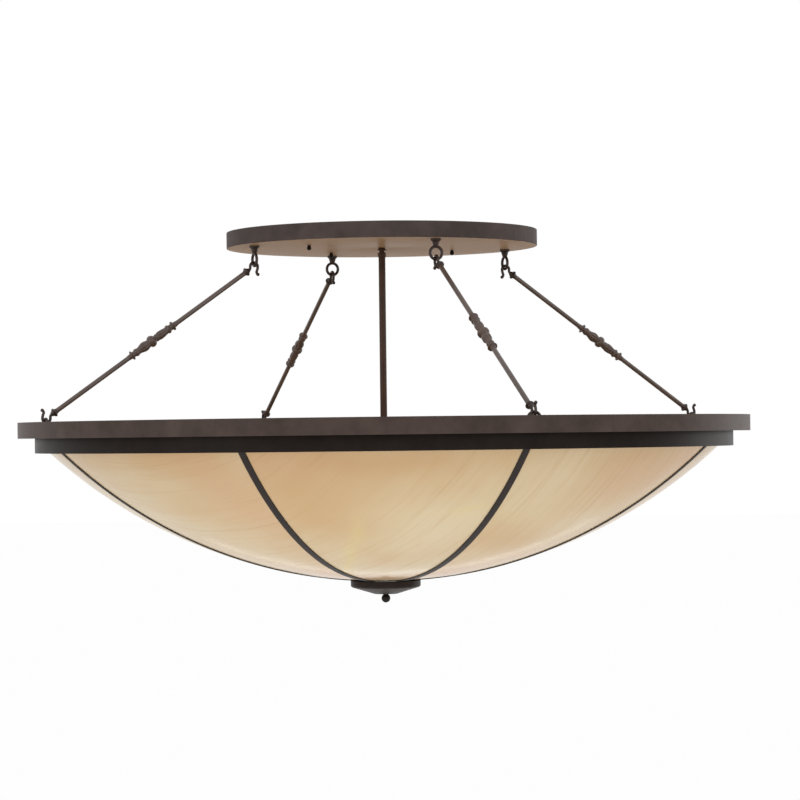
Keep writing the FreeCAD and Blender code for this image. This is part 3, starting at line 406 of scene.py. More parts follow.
# Painted shade: the lower band is the same coating as the upper one, painted darker for the shade
# under the ledge that overhangs it.
lower_band_shade_bronze = bronze("lower_band_bronze", (37, 31, 28), rough=0.36, gloss=0.05)
rib_bronze = bronze("rib_bronze", (41, 34, 31), gloss=0.12, rough=0.5)
casting_bronze = bronze("casting_bronze", (90, 73, 65), copper=0.25, rough=0.36, gloss=0.5,
                        grain=0.00006, grain_scale=500)
rod_bronze = bronze("rod_bronze", (92, 76, 69), copper=0.15, rough=0.3, gloss=0.6)
hook_bronze = bronze("hook_bronze", (56, 43, 37), copper=0.25, rough=0.38, gloss=0.4,
                     grain=0.00005, grain_scale=600)
stem_bronze = bronze("stem_bronze", (74, 53, 42), copper=0.1, rough=0.4)
cap_bronze = bronze("cap_bronze", (42, 34, 30), gloss=0.08, rough=0.4)
ball_bronze = bronze("ball_bronze", (30, 25, 22), gloss=0.1, rough=0.36)
inner_bronze = bronze("inner_bronze", (54, 45, 40))
print("materials so far:", len(bpy.data.materials))

# %% [markdown]
# ## Zinc, glaze and lamp glass
# Hidden fixings are zinc plated steel with a faint crystal pattern, and the lampholders are white
# glazed ceramic. A bulb is frosted glass above and a metal shell below: its height on the piece
# decides which.

# %% Plain finishes
def zinc_steel():
    """A haze and small crystals share the shade between dark and light grey."""
    finish = Finish("zinc_steel")
    where = finish.place()
    crystal = finish.node("TexVoronoi", {}, {"Vector": where, "Scale": 260})
    haze = finish.noise(where, 60, 4)
    shade = finish.ramp(haze * 0.7 + crystal * 0.3, 0.25, 0.75, 0.3, 0.56)
    return finish.shade(Base_Color=shade, Metallic=0.9, Roughness=0.38 + haze * 0.2,
                        Normal=finish.bump(haze, 0.00003))


def porcelain():
    """A warm white that wanders a little, under a clear coat."""
    finish = Finish("porcelain")
    where = finish.place()
    tint = finish.noise(where, 30, 3)
    colour = finish.mix(tint, paint(226, 223, 214), paint(240, 238, 232))
    return finish.shade(Base_Color=colour, Roughness=0.16 + tint * 0.08, Coat_Weight=0.4,
                        Normal=finish.bump(finish.noise(where, 90, 2), 0.00004))


def lamp_glass():
    """White above the lampholder's mouth and nickel below it, split by height."""
    finish = Finish("lamp_glass")
    where = finish.place()
    height = finish.node("SeparateXYZ", {}, {"Vector": where}, out=2)
    shell = height.below((HOLDER_TOP + 1.2) * MM)
    frost = finish.noise(where, 500, 2)
    white = finish.mix(frost, paint(236, 234, 226), paint(246, 245, 240))
    return finish.shade(
        Base_Color=finish.mix(shell, white, paint(176, 168, 150)), Metallic=shell * 0.9,
        Roughness=0.34 + frost * 0.1, Normal=finish.bump(frost, 0.00001))


zinc, glaze, bulb_glass = zinc_steel(), porcelain(), lamp_glass()
print("plain finishes:", zinc.name, glaze.name, bulb_glass.name)

# %% [markdown]
# ## Streaked art glass
# The glass is rolled from several colours at once: cream, honey and a little peach, pulled into
# long soft streaks. Every panel is cut from another place on the sheet, so its own map, in
# metres, runs with its streaks. Broad clouds and pools of four colours give the body, stretched
# noises the streaks and darker threads. The colour is darkened towards the rim as painted shade
# from the frame above it.

# %% Art glass
CREAM, HONEY = paint(217, 197, 160), paint(206, 170, 125)
PEACH, THREAD = paint(212, 175, 138), paint(186, 150, 106)
PALE, STRAW = paint(222, 206, 174), paint(224, 203, 136)
# The rim's painted shade multiplies the colour; it comes in from a height, over a span, in
# metres.
RIM_PAINTED_SHADE = (0.92, 0.875, 0.845, 1)
RIM_SHADE_FROM, RIM_SHADE_SPAN = -0.69, 0.115


def art_glass():
    """Broad clouds choose between cream and honey, the pools are laid over them, then streaks
    and threads, which are noises stretched along the map's first axis."""
    finish = Finish("art_glass")

    def drawn_out(along, across, *noise):
        return finish.noise(finish.place((along, across, 1), "glass_map"), *noise)

    body = drawn_out(1, 1, 3.2, 3, 0.5, 0.4)
    wide = drawn_out(1.6, 7, 1.6, 4, 0.6, 0.5)
    streak = drawn_out(1.5, 22, 1.7, 5, 0.6, 0.9)
    thread = drawn_out(1.2, 60, 1.5, 5, 0.62, 0.7)
    pools = finish.node("Attribute", {"attribute_name": "pools"})
    part = [finish.node("SeparateColor", {}, {"Color": pools}, out=n) for n in range(3)]
    straw = finish.node("Attribute", {"attribute_name": "pools"}, out=3)
    honey, peach, pale = [amount * (0.45 + wide * 1.1) for amount in part]
    colour = CREAM
    for amount, tint in [
            (finish.ramp(body, 0.36, 0.64) * 0.6, HONEY),
            (finish.ramp(wide, 0.42, 0.66) * 0.45, CREAM),
            (honey, HONEY), (peach, PEACH), (pale, PALE), (straw, STRAW),
            (finish.ramp(streak, 0.5, 0.7) * 0.35, HONEY),
            (finish.ramp(thread, 0.56, 0.72) * 0.35, THREAD)]:
        colour = finish.mix(amount, colour, tint)
    height = finish.node("SeparateXYZ", {}, {"Vector": finish.place()}, out=2)
    # Painted shade: the colour darkens towards the rim, under the frame.
    rim = finish.ramp((height - RIM_SHADE_FROM) / RIM_SHADE_SPAN, 0, 1)
    colour = finish.mix(rim, colour, finish.mix(1, colour, RIM_PAINTED_SHADE, "MULTIPLY"))
    return finish.shade(
        Base_Color=colour, Roughness=0.12 + streak * 0.08, Specular_IOR_Level=0.05,
        Normal=finish.bump(thread, 0.00006))


glass = art_glass()
print("glass nodes:", len(glass.node_tree.nodes))

# %% [markdown]
# ## Dressing the pieces that are already right
# The spider and the hidden fixings, from the ceiling bracket to the lower stem, keep the
# mechanical model's shape and only get a finish. Every other piece is new: it rides on a body and
# stands for the nodes that it hides.

# %% Dressing
def dress(piece, material):
    """Gives a piece its only material."""
    piece.data.materials.clear()
    piece.data.materials.append(material)


def finish_piece(piece, body, slot, material, *nodes):
    """Dresses a new piece, makes it ride on its body and hides the nodes that it stands for."""
    dress(piece, material)
    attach(piece, body)
    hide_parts(*nodes)
    print(piece.name, "rides on", body, "with", len(piece.data.polygons), "faces")
    return piece


def grid_piece(name, grids, *place):
    """Builds a piece from grids and finishes it; place is what finish_piece asks for."""
    return finish_piece(mesh_piece(name, grids), *place)


def turned_piece(name, corners, ease, sides, *place):
    """The same from the corners of one closed profile, eased and turned."""
    return grid_piece(name, [lathe(eased(corners, ease, closed=True), sides)], *place)


KEPT = [
    (zinc, "ceiling_bracket bracket_studs eye_nuts stem_nuts arm_bolts lower_stem_nuts"
           " bottom_plate lower_stem"),
    (stem_bronze, "stem_nipple"),
    (inner_bronze, "spider_arms spider_hub hub_cup")]
for material, kept in KEPT:
    for node_name in kept.split():
        dress(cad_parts[node_name], material)
    print(material.name, "for", kept)

# %% [markdown]
# ## Canopy
# The canopy is a spun steel pan: a flat floor that faces down, a rim and a small rounded corner
# between them. The underside keeps the brushed look of the sheet. Its light warm tan is painted
# light, standing in for the glow of the bowl reflected onto it.

# %% Canopy pan
PAN_HOLE, PAN_WALL, PAN_FLOOR = 7, 2, 3


def canopy_pan():
    """Floor, rim and rim's inside as one closed profile, turned."""
    r, low = CANOPY_RADIUS, CANOPY_UNDERSIDE
    corners = [(PAN_HOLE, low), (r, low), (r, 0), (r - PAN_WALL, 0),
               (r - PAN_WALL, low + PAN_FLOOR), (PAN_HOLE, low + PAN_FLOOR)]
    return turned_piece("canopy_pan_shell", corners, 1.1, 240, "canopy", "canopy_bronze",
                        canopy_bronze, "canopy_pan")


def paint_underside_glow(piece):
    """Gives the faces that lie lowest and inside the rounded corner the brushed finish, whose
    light tan is a painted glow from the bowl.
    """
    piece.data.materials.append(underside_glow_bronze)
    middle = np.empty(len(piece.data.polygons) * 3)
    piece.data.polygons.foreach_get("center", middle)
    x, y, z = middle.reshape(-1, 3).T / MM
    under = (z < CANOPY_UNDERSIDE + 0.4) & (np.hypot(x, y) < CANOPY_RADIUS - 1)
    piece.data.polygons.foreach_set("material_index", under.astype(np.int32))


# The underside gets the painted glow of the bowl's light.
paint_underside_glow(canopy_pan())

# %% [markdown]
# ## Ball knobs under the canopy
# Four small turned knobs clamp the canopy to its bracket. Each is a ball on a short collar.

# %% Canopy knobs
KNOB_CIRCLE, FIRST_KNOB = 222, -54


def ball_line(ball, centre, start, end, count):
    """Points on a circle's right half, from one angle above the level to another; where an end
    is straight up or down, its point lies on the axis itself."""
    sweep = np.linspace(start, end, count)
    line = np.stack([ball * np.cos(sweep), centre + ball * np.sin(sweep)], axis=-1)
    line[np.isclose(np.abs(sweep), pi / 2), 0] = 0
    return line


def knob_profile(top, ball, collar):
    """From the axis at the bottom round the ball to its collar, then across the top."""
    line = ball_line(ball, top - 1.6 - ball, -pi / 2, acos(collar / ball), 22)
    return np.vstack([line, eased([(collar, line[-1, 1]), (collar, top), (0, top)], 0.3)])


knob = shifted(lathe(knob_profile(CANOPY_UNDERSIDE - 0.3, 5.5, 3.96), 32), KNOB_CIRCLE)
for number in range(4):
    name = "canopy_knob_%d" % (number + 1)
    spot = turned(knob, FIRST_KNOB + 90 * number)
    grid_piece(name + "_ball", [spot], name, "knob_bronze", ball_bronze, name)

# %% [markdown]
# ## Stem, flange and coupling
# A small flange covers the hole in the canopy, a coupling joins the nipple to the stem, and the
# stem is a plain tube. Each is its own turned piece.

# %% Stem
NIPPLE, STEM, STEM_BORE = 6.6, 8.57, 6.97
STEM_FOOT = STEP_LEVEL + BAND - 20


def stem_pieces():
    """Three closed profiles, one below the other, each turned for itself."""
    low = CANOPY_UNDERSIDE
    top, bottom, shoulder = low - 12.2, low - 24.8, low - 18.2
    flange = [(NIPPLE, low), (8.6, low), (8.6, low - 3.2), (11.5, low - 4.8), (11.5, low - 7.2),
              (NIPPLE, low - 7.2)]
    coupling = [(NIPPLE, top), (9, top), (10.3, top - 1.8), (10.3, bottom + 1.8),
                (9.2, bottom), (STEM, bottom), (STEM, shoulder), (NIPPLE, shoulder)]
    tube = bar(STEM_BORE, STEM, STEM_FOOT, shoulder)
    for name, corners, ease, node in [
            ("stem_flange_disc", flange, 0.6, "stem_flange"),
            ("stem_coupling_sleeve", coupling, 0.8, "stem_coupling"),
            ("stem_tube", tube, 0.4, "centre_stem")]:
        turned_piece(name, corners, ease, 48, "canopy", "stem_bronze", stem_bronze, node)


stem_pieces()

# %% [markdown]
# ## The eyes
# An eye is a flange, a tapering neck and a ring of round wire, cast together. Four hang from the
# canopy and four stand on the ledge, with their rings across the hooks' wires.

# %% Eyes
EYE_WIRE, EYE_RING = 3.6, 15.5


def eye_shells(floor, bar, sign):
    """The turned flange and neck, and the ring, about the upright line through the eye. sign is
    1 where the eye stands on its floor and -1 where it hangs."""
    centre = bar - sign * EYE_RING
    ring_end = centre - sign * (EYE_RING + EYE_WIRE)
    profile = [(0, floor), (12.8, floor), (12.8, floor + sign * 4.6), (9.6, floor + sign * 6.4),
               (7.2, ring_end - sign), (6.4, ring_end + sign * 2), (4.2, ring_end + sign * 5),
               (0, ring_end + sign * 5.6)]
    angle = np.linspace(0, 2 * pi, 49)[:, None]
    section = circle(EYE_WIRE, 16)
    out = EYE_RING + section[:, 0]
    ring = np.stack([section[:, 1] + 0 * angle, np.cos(angle) * out,
                     centre + np.sin(angle) * out], axis=-1)
    return [lathe(eased(profile, 1), 40), ring]


def eyes(name, bar, floor, sign, body, node):
    """One eye moved out to its bar, at each of the four hangers."""
    eye = [shifted(shell, bar[0]) for shell in eye_shells(floor, bar[1], sign)]
    grid_piece(name, around(eye, FIRST_RIB, 4), body, "eye_bronze", hook_bronze, node)


eyes("canopy_eyes", UPPER_BAR, CANOPY_UNDERSIDE, -1, "canopy", "upper_eyes")
eyes("ledge_eyes", LOWER_BAR, STEP_LEVEL + BAND, 1, "bowl", "lower_eyes")

# %% [markdown]
# ## The hooks
# A round wire leaves its collar along the rod, turns up, goes over the eye's bar and comes down
# to a small outward curl with a ball at its tip. It is one bent line, whose thickness swells into
# the ball.

# %% Hooks
HOOK_WIRE, HOOK_BEND, COLLAR_AT = 3.45, 9.8, 26.5
KNEE_BEND, TAIL_BEND, CURL_BEND, TIP_BALL, HOOK_SLACK = 8, 26, 6.5, 4.2, 0.55


def hook_line():
    """The same straight runs and arcs as the mechanical model's wire, in the hanger's plane."""
    lean = np.array([cos(SLOPE), -sin(SLOPE)])
    middle = (HOOK_BEND - HOOK_WIRE - EYE_WIRE - HOOK_SLACK) * lean
    knee = (middle[0] + HOOK_BEND) / lean[0]
    turn = 90 - degrees(SLOPE)
    cut = KNEE_BEND * tan(radians(turn) / 2)
    leg_start = knee * lean[1] + cut
    return bent_line(COLLAR_AT * lean, 180 - degrees(SLOPE), [
        (COLLAR_AT - knee - cut, 0), arc_run(KNEE_BEND, -turn), (middle[1] - leg_start, 0),
        arc_run(HOOK_BEND, 180), arc_run(TAIL_BEND, 25), arc_run(CURL_BEND, -88),
        (TIP_BALL, 0)])


def hook_shells():
    """The wire, whose radius at its tip is a circle's over the length left, and the collar."""
    line = hook_line()
    along = np.concatenate([[0], np.cumsum(np.linalg.norm(np.diff(line, axis=0), axis=1))])
    left = along[-1] - along
    ball = np.sqrt(np.clip(TIP_BALL ** 2 - (left - TIP_BALL) ** 2, 0, None))
    radius = np.where(left < TIP_BALL, ball, np.maximum(HOOK_WIRE, ball))
    wire = swept(line, circle(1, 18), radius)
    ring = np.concatenate([wire[:1] * 0 + [line[0, 0], 0, line[0, 1]], wire])
    profile = eased([(0, 16.4), (3.9, 16.5), (5.2, 18.6), (7.6, 23), (9.9, 24.2), (10.8, 25.5),
                     (10.8, 27.5), (10, 28.6), (7.8, 29.2), (6.9, 31.5), (6.6, 33.5),
                     (5.8, 33.6), (0, 33.6)], 0.7)
    return ring, lathe(profile, 36)


def hung(grid, along=0):
    """Lays a grid turned about Z along the hanger's line, its foot a distance from the bar."""
    tilt = pi / 2 + SLOPE
    lean = np.array([[cos(tilt), 0, sin(tilt)], [0, 1, 0],
                     [-sin(tilt), 0, cos(tilt)]])
    start = along * np.array([cos(SLOPE), 0, -sin(SLOPE)])
    return grid @ lean.T + start


def at_bar(grid, lower, side):
    """Moves a grid drawn about the upper bar to one hanger. The lower hook is the upper one
    turned end for end in the hanger's plane."""
    flip = np.array([-1, 1, -1]) if lower else np.ones(3)
    circle_radius, level = LOWER_BAR if lower else UPPER_BAR
    return turned(shifted(grid * flip, circle_radius, 0, level),
                  FIRST_RIB + HANGER_STEP * side)


hook_wire, hook_collar = hook_shells()
for number, side in enumerate(SIDES):
    shells = [at_bar(shell, lower, number)
              for lower in (False, True) for shell in (hook_wire, hung(hook_collar))]
    body = "hanger_" + side
    grid_piece("hooks_" + side, shells, body, "hanger_bronze", hook_bronze, body + "_hooks")

# %% [markdown]
# ## Rods and castings
# Two tubes join the hooks to a turned casting in the middle: discs at its ends, then rings, two
# bulbs carved with long leaves, and a round bead in the very middle. The leaves are a ripple
# round a bulb that fades out at both of its ends.

# %% Hanger castings
SLIM_END, FULL_END, SOCKET, BORE, ROD, ROD_BORE = -78, 72, 16, 5.9, 5.8, 3.4
# Middle and half length of each bulb and of the bead, and how deep they are cut.
SLIM_BULB, FULL_BULB, BEAD, LEAF_CUT, BEAD_CUT = (-31, 14), (25.5, 16.5), (0, 6.5), 0.17, 0.03


def casting_profile():
    """Radius and distance from the middle, from the slim bulb's end to the full bulb's."""
    corners = [
        (BORE, SLIM_END), (6.4, SLIM_END), (7.2, -69.2), (8.2, -68.2), (11.3, -67.7), (12, -66.6),
        (12, -65.4), (11.3, -64.4), (8.4, -63.2), (7.8, -60.6), (7.8, -57.8), (8.3, -55.4),
        (10.2, -54.2), (11.1, -52.4), (11.1, -50.6), (10.2, -48.9), (8.9, -47.6), (8.6, -45),
        (9.4, -40.5), (10.5, -34.5), (11.2, -28.6), (10.9, -24.2), (10, -20), (8.9, -17.6),
        (9.5, -16.8), (9.8, -15.4), (9.5, -13.9), (8.4, -12.9), (8.3, -10.9), (9.4, -9.2),
        (11.6, -7), (13.3, -4.9), (14.7, -1.6), (14.8, 1.8), (13.7, 4.9), (11.9, 7), (9.8, 8.6),
        (9.4, 9.9), (10.2, 12), (11.4, 16.4), (12.3, 21), (12.2, 25.2), (11, 29.8), (9.4, 34.2),
        (8.4, 38.6), (8.2, 42.6), (9.1, 44.6), (9.9, 46.6), (9.8, 48.8), (8.6, 51.2), (7.4, 53.2),
        (7.3, 56.8), (8.2, 58.6), (11.3, 59.3), (12, 60.1), (12, 61.2), (11.3, 62), (7.4, 62.9),
        (6.9, 64.6), (6.3, FULL_END), (BORE, FULL_END)]
    return eased(corners, 2, steps=3)


def casting_shell(sides=96):
    """A turned casting with carved bulbs: the radius loses a share of 1 - |sin(four times the
    angle)| to a power, most in the middle of a bulb and nothing at its ends."""
    profile = casting_profile()
    grid = lathe(profile, sides)
    angle = np.arange(sides) * (2 * pi / sides)
    z = profile[:, 1]
    slim, full, bead = [np.clip(1 - ((z - middle) / half) ** 2, 0, 1)[:, None]
                        for middle, half in (SLIM_BULB, FULL_BULB, BEAD)]
    groove = 1 - np.abs(np.sin(4 * angle + 0.02 * z[:, None])) ** 0.6
    depth = 1 - LEAF_CUT * (slim + full) ** 0.7 * groove
    depth = depth - BEAD_CUT * bead * (1 - np.abs(np.cos(6 * angle)))
    grid[..., :2] *= depth[..., None]
    bore = [(BORE, z) for z in (FULL_END - SOCKET, SLIM_END + SOCKET, SLIM_END)]
    return np.concatenate([grid, lathe(bore, sides)])


def rod_shell(end):
    """A tube from just inside the hook's collar to a distance from the bar."""
    start = COLLAR_AT + 2
    return lathe(eased(bar(ROD_BORE, ROD, start, end), 0.3, closed=True), 32)


casting = casting_shell()
middle_at = HANGER_LENGTH / 2
slim_rod = rod_shell(middle_at + SLIM_END + SOCKET)
full_rod = rod_shell(middle_at - FULL_END + SOCKET)
for number, side in enumerate(SIDES):
    body = "hanger_" + side
    at_back = side.startswith("back")
    upper_rod, lower_rod = (full_rod, slim_rod) if at_back else (slim_rod, full_rod)
    facing = casting * [-1, 1, -1] if at_back else casting
    spindle = at_bar(hung(facing, middle_at), False, number)
    tubes = [at_bar(hung(upper_rod), False, number), at_bar(hung(lower_rod), True, number)]
    grid_piece("casting_" + side, [spindle], body, "hanger_bronze", casting_bronze,
               body + "_spindle")
    grid_piece("rods_" + side, tubes, body, "hanger_bronze", rod_bronze, body + "_rods")

# %% [markdown]
# ## The frame's two bands
# The frame is rolled from flat bar: a tall outer band, a ledge welded inside its lower edge, and
# a smaller band below with a lip that carries the bowl. Rolled bar stays crisp, so its corners
# are eased only a little.

# %% Bands and ledge
LOWER_RADIUS, LEDGE_INSIDE, LIP_INSIDE = 872.3, 846, 844


def frame_bands():
    """Three closed profiles of flat bar, each turned round the middle of the light."""
    inside, low, wall = RING_RADIUS - BAND, STEP_LEVEL, LOWER_RADIUS - BAND
    upper = bar(inside, RING_RADIUS, low, RING_TOP)
    ledge = bar(LEDGE_INSIDE, inside, low, low + BAND)
    lower = [(LIP_INSIDE, LOWER_EDGE), (LOWER_RADIUS, LOWER_EDGE), (LOWER_RADIUS, low),
             (wall, low), (wall, LIP_TOP), (LIP_INSIDE, LIP_TOP)]
    for name, corners, ease, slot, material, node in [
            ("upper_band_ring", upper, 0.5, "band_bronze", band_bronze, "upper_band"),
            ("ledge_ring", ledge, 0.3, "ledge_bronze", ledge_bronze, "step_ring"),
            # The lower band's darker finish is painted shade under the ledge.
            ("lower_band_ring", lower, 0.5, "lower_band_bronze", lower_band_shade_bronze, "lower_band")]:
        turned_piece(name, corners, ease, 360, "bowl", slot, material, node)


frame_bands()

# %% [markdown]
# ## Ribs
# Eight straps are bent to the curve of the bowl, one over each joint of the glass. Their upper
# ends turn outwards onto the lip, and the cap covers their lower ends.

# %% Ribs
STRAP, STRAP_WIDTH, STRAP_GAP, STRAP_EASE = 2, 17.6, 0.3, 0.6
# Distances from the axis: the strap's foot, the screw there, the screw on the tab, its end.
STRAP_FOOT, FOOT_SCREW, TAB_SCREW, TAB_END = 32, 45, 854, 862
TAB_BEND, BEND_ANGLE = 4.5, 0.0035
HEAD, DOME, SHANK = 4.5, 2.6, 2.4


def strap_section():
    """A rectangle with eased corners: across, and outward from the glass."""
    w, t = STRAP_WIDTH / 2, STRAP / 2
    return eased(bar(-w, w, -t, t), STRAP_EASE, closed=True)[:-1]


def rib_line():
    """The strap's middle line: an arc of the bowl, then a short bend onto the level tab."""
    middle = SPHERE + STRAP_GAP + STRAP / 2
    start = asin(STRAP_FOOT / middle)
    tab = LIP_TOP + STRAP / 2
    end = acos((SPHERE_CENTRE - tab) / middle)
    angle = np.linspace(start, end - BEND_ANGLE, 60)
    arc = np.stack([middle * np.sin(angle), SPHERE_CENTRE - middle * np.cos(angle)], axis=-1)
    corner = np.array([middle * sin(end), tab])
    turn = bend(arc[-1], corner, corner + [TAB_BEND, 0], np.linspace(0, 1, 7)[1:, None])
    return np.vstack([arc, turn, [TAB_END, tab]])


rib = capped(rib_line(), strap_section())
grid_piece("bowl_ribs", around([rib], FIRST_RIB, 8), "bowl", "rib_bronze", rib_bronze, "ribs")


def rib_screws():
    """At each rib a domed head on the tab, its shank through the lip, and a flat head at the
    rib's foot. Their slots are left out: too small to see and filled with paint."""
    t = np.linspace(0, pi / 2, 9)
    dome = np.stack([HEAD * np.cos(t), DOME * np.sin(t)], axis=-1)
    dome[-1, 0] = 0
    top = LIP_TOP + 2.8
    head = shifted(lathe(np.vstack([[(0, 0)], dome]), 20), TAB_SCREW, 0, LIP_TOP + STRAP)
    shank = shifted(lathe(bar(0, SHANK, LOWER_EDGE, top), 16), TAB_SCREW)
    foot = shifted(lathe(eased(bar(0, HEAD, -8.9, -6.3), 0.8), 20), FOOT_SCREW, 0, BOWL_BOTTOM)
    return around((head, shank, foot), FIRST_RIB, 8)


grid_piece("rib_screw_heads", rib_screws(), "bowl", "screw_black", ball_bronze, "rib_screws")

# %% [markdown]
# ## Glass panels
# The eight panels are bent over one mould, so they share a sphere. Each is a thin pillow of two
# skins, whose thickness falls to nothing round the border like a ground edge. A very shallow
# ripple keeps the reflections from looking like plastic.

# %% Panels
def stations(start, end, count, ease):
    """Even stations with a few more near both ends, where the edge is rounded."""
    close = ease * np.array([0, 0.12, 0.45, 1])
    return np.concatenate([start + close, np.linspace(start + 3 * ease, end - 3 * ease, count),
                           end - close[::-1]])


def rounded_edge(distance, ease):
    """Half the thickness as a share of its full value: a quarter circle at the border."""
    t = np.clip(distance / ease, 0, 1)
    return np.sqrt(np.clip(1 - (1 - t) ** 2, 0, 1))


PANEL_THICKNESS, PANEL_EDGE, PANEL_HALF_ANGLE, PANEL_GAP = 4, 1.6, 22.36, 0.15
PANEL_FOOT, PANEL_RISE, RIPPLE = 28, 8, 0.22


def glass_grid(number, across=44, along=56):
    """Two skins of a spherical panel. Columns run over the outer skin and back over the inner
    one, rows run from the middle of the bowl to its rim."""
    middle_sphere = SPHERE - PANEL_THICKNESS / 2
    first = asin(PANEL_FOOT / middle_sphere) * middle_sphere
    last = acos((SPHERE_CENTRE - (LIP_TOP + PANEL_RISE)) / middle_sphere) * middle_sphere
    s = stations(first, last, along, PANEL_EDGE)
    polar = s / middle_sphere
    ring = middle_sphere * np.sin(polar)
    half_width = radians(PANEL_HALF_ANGLE) * ring - PANEL_GAP
    width = half_width[:, None] * stations(-1, 1, across, 0.004)
    border = np.minimum(half_width[:, None] - np.abs(width),
                        np.minimum(s - first, last - s)[:, None])
    half = PANEL_THICKNESS / 2 * rounded_edge(border, PANEL_EDGE)
    azimuth = radians(FRONT + RIB_STEP * number) + width / ring[:, None]
    wave = RIPPLE * np.sin(width / 31 + number + 0.9 * np.sin(s / 55)[:, None])
    wave = wave * np.sin(s / 43 + 2 * number)[:, None] * np.clip(border / 30, 0, 1)
    skins = []
    for sign in (1, -1):
        radius = middle_sphere + sign * half + wave
        away = radius * np.sin(polar)[:, None]
        skins.append(np.stack([away * np.cos(azimuth), away * np.sin(azimuth),
                               SPHERE_CENTRE - radius * np.cos(polar)[:, None]], axis=-1))
    return np.concatenate([skins[0], skins[1][:, ::-1]], axis=1)


# %% [markdown]
# ## Where the colours lie
# The streaks of a panel run at an angle from straight across it. Each pool of colour is listed:
# panel, colour (0 honey, 1 peach, 2 pale, 3 straw), across and up, half width, half height,
# strength. Up is counted in metres along the curve from the middle of the bowl.

# %% Streaks and pools
STREAKS = [56, 100, 24, 65, -35, 30, 140, 2]
POOLS = np.array([
    (0, 0, -.2, .72, .13, .2, .75), (0, 0, 0, .88, .34, .05, .45),
    (0, 0, -.07, .6, .13, .1, .35), (0, 1, -.26, .85, .12, .07, .5),
    (0, 2, .13, .56, .14, .17, .6), (0, 2, 0, .3, .3, .06, .45),
    (1, 2, -.2, .8, .12, .1, .55), (1, 1, .08, .8, .2, .12, .6),
    (1, 0, -.13, .52, .13, .09, .6), (1, 2, .05, .6, .12, .07, .5),
    (1, 1, .28, .84, .1, .1, .5), (7, 2, -.16, .8, .16, .13, .5),
    (7, 1, .21, .7, .1, .22, .7), (7, 0, .12, .9, .24, .05, .6),
    (7, 0, .02, .7, .14, .08, .45), (7, 2, -.06, .57, .16, .08, .4),
    (2, 1, -.1, .6, .2, .2, .5), (2, 2, .15, .8, .15, .1, .5),
    (3, 0, .1, .7, .2, .12, .6), (4, 2, -.05, .55, .2, .12, .5),
    (4, 0, .12, .82, .18, .1, .6), (5, 1, -.15, .78, .16, .14, .6),
    (6, 2, .28, .8, .12, .12, .5), (6, 0, -.1, .65, .18, .15, .5),
    (0, 1, 0, .19, .3, .055, 1), (1, 1, -.05, .24, .16, .1, .9),
    (7, 1, .05, .24, .16, .1, .9), (1, 1, .08, .4, .1, .05, .5),
    (0, 3, -.094, .31, .014, .07, .5), (0, 3, -.084, .44, .015, .08, .42),
    (0, 3, -.066, .58, .016, .08, .3), (0, 3, .2, .665, .045, .016, .3)])


def add_glass_map(piece, number):
    """A map in metres: a corner's place across and along its panel, turned to the streaks. Each
    pool of colour fades from its middle as exp(-distance squared), the distance counted in half
    widths and half heights."""
    mesh = piece.data
    points = np.empty(len(mesh.vertices) * 3)
    mesh.vertices.foreach_get("co", points)
    x, y, _ = turned(points.reshape(-1, 3), -RIB_STEP * number).T
    azimuth, sphere = np.arctan2(x, -y), SPHERE * MM
    out = np.arcsin(np.clip(np.hypot(x, y) / sphere, 0, 1)) * sphere
    across, up = out * np.sin(azimuth), out * np.cos(azimuth)
    a = radians(STREAKS[number])
    u = across * cos(a) + up * sin(a) + 3.1 * number
    v = -across * sin(a) + up * cos(a) + 1.7 * number
    corners = np.empty(len(mesh.loops), np.int32)
    mesh.loops.foreach_get("vertex_index", corners)
    layer = mesh.uv_layers.new(name="glass_map")
    layer.uv.foreach_set("vector", np.stack([u, v], axis=-1)[corners].ravel())
    _, which, right, rise, wide, tall, strength = POOLS[POOLS[:, 0] == number].T
    away = ((across[:, None] - right) / wide) ** 2 + ((up[:, None] - rise) / tall) ** 2
    amount = strength * np.exp(-away)
    pools = amount @ (which[:, None] == np.arange(4))
    attribute = mesh.attributes.new("pools", "FLOAT_COLOR", "POINT")
    attribute.data.foreach_set("color", np.clip(pools, 0, 1).ravel())


for number in range(8):
    panel = mesh_piece("glass_panel_%d_bent" % (number + 1), [glass_grid(number)], 60)
    add_glass_map(panel, number)
    finish_piece(panel, "bowl", "art_glass", glass, "glass_panel_%d" % (number + 1))

# %% [markdown]
# ## Cap and ball
# The cap over the ends of the ribs is spun from one sheet: an upright rim, a narrow bevel and a
# shallow cone. Below it, a ball on a short neck screws the whole together.

# %% Cap and ball
CAP_RADIUS, CAP_RIM, CAP_FLAT, CAP_HOLE, CAP_SHEET = 88, 16.4, 29, 5.3, 1.8


def cap_corners():
    """Outside from the hole up the cone and the rim, then the same way back inside."""
    top, foot, inside = CAP_TOP, CAP_FOOT, CAP_FOOT + CAP_SHEET
    rim, wall = top - CAP_RIM, CAP_RADIUS - CAP_SHEET
    return [(CAP_HOLE, foot), (CAP_FLAT, foot), (84.5, rim - 1), (CAP_RADIUS, rim + 2.5),
            (CAP_RADIUS, top), (wall, top), (wall, rim + 3), (82.7, rim + 1.2),
            (CAP_FLAT, inside), (CAP_HOLE, inside)]


def ball_profile():
    """A ball, a short neck and the bore that takes the lower stem's thread."""
    ball, neck, bore, top = 11.1, 6.2, 5.05, CAP_FOOT - 0.2
    line = ball_line(ball, CAP_FOOT - ball, -pi / 2, acos(neck / ball), 30)
    return np.vstack([line, eased([(neck, line[-1, 1]), (neck, top), (bore, top),
                                   (bore, top - 15), (0, top - 15)], 0.3)])


turned_piece("cap_cone", cap_corners(), 0.8, 160, "finial_cap", "cap_bronze", cap_bronze,
             "finial_cap")
grid_piece("ball_finial", [lathe(ball_profile(), 64)], "finial_knob", "ball_bronze", ball_bronze,
           "finial_knob")

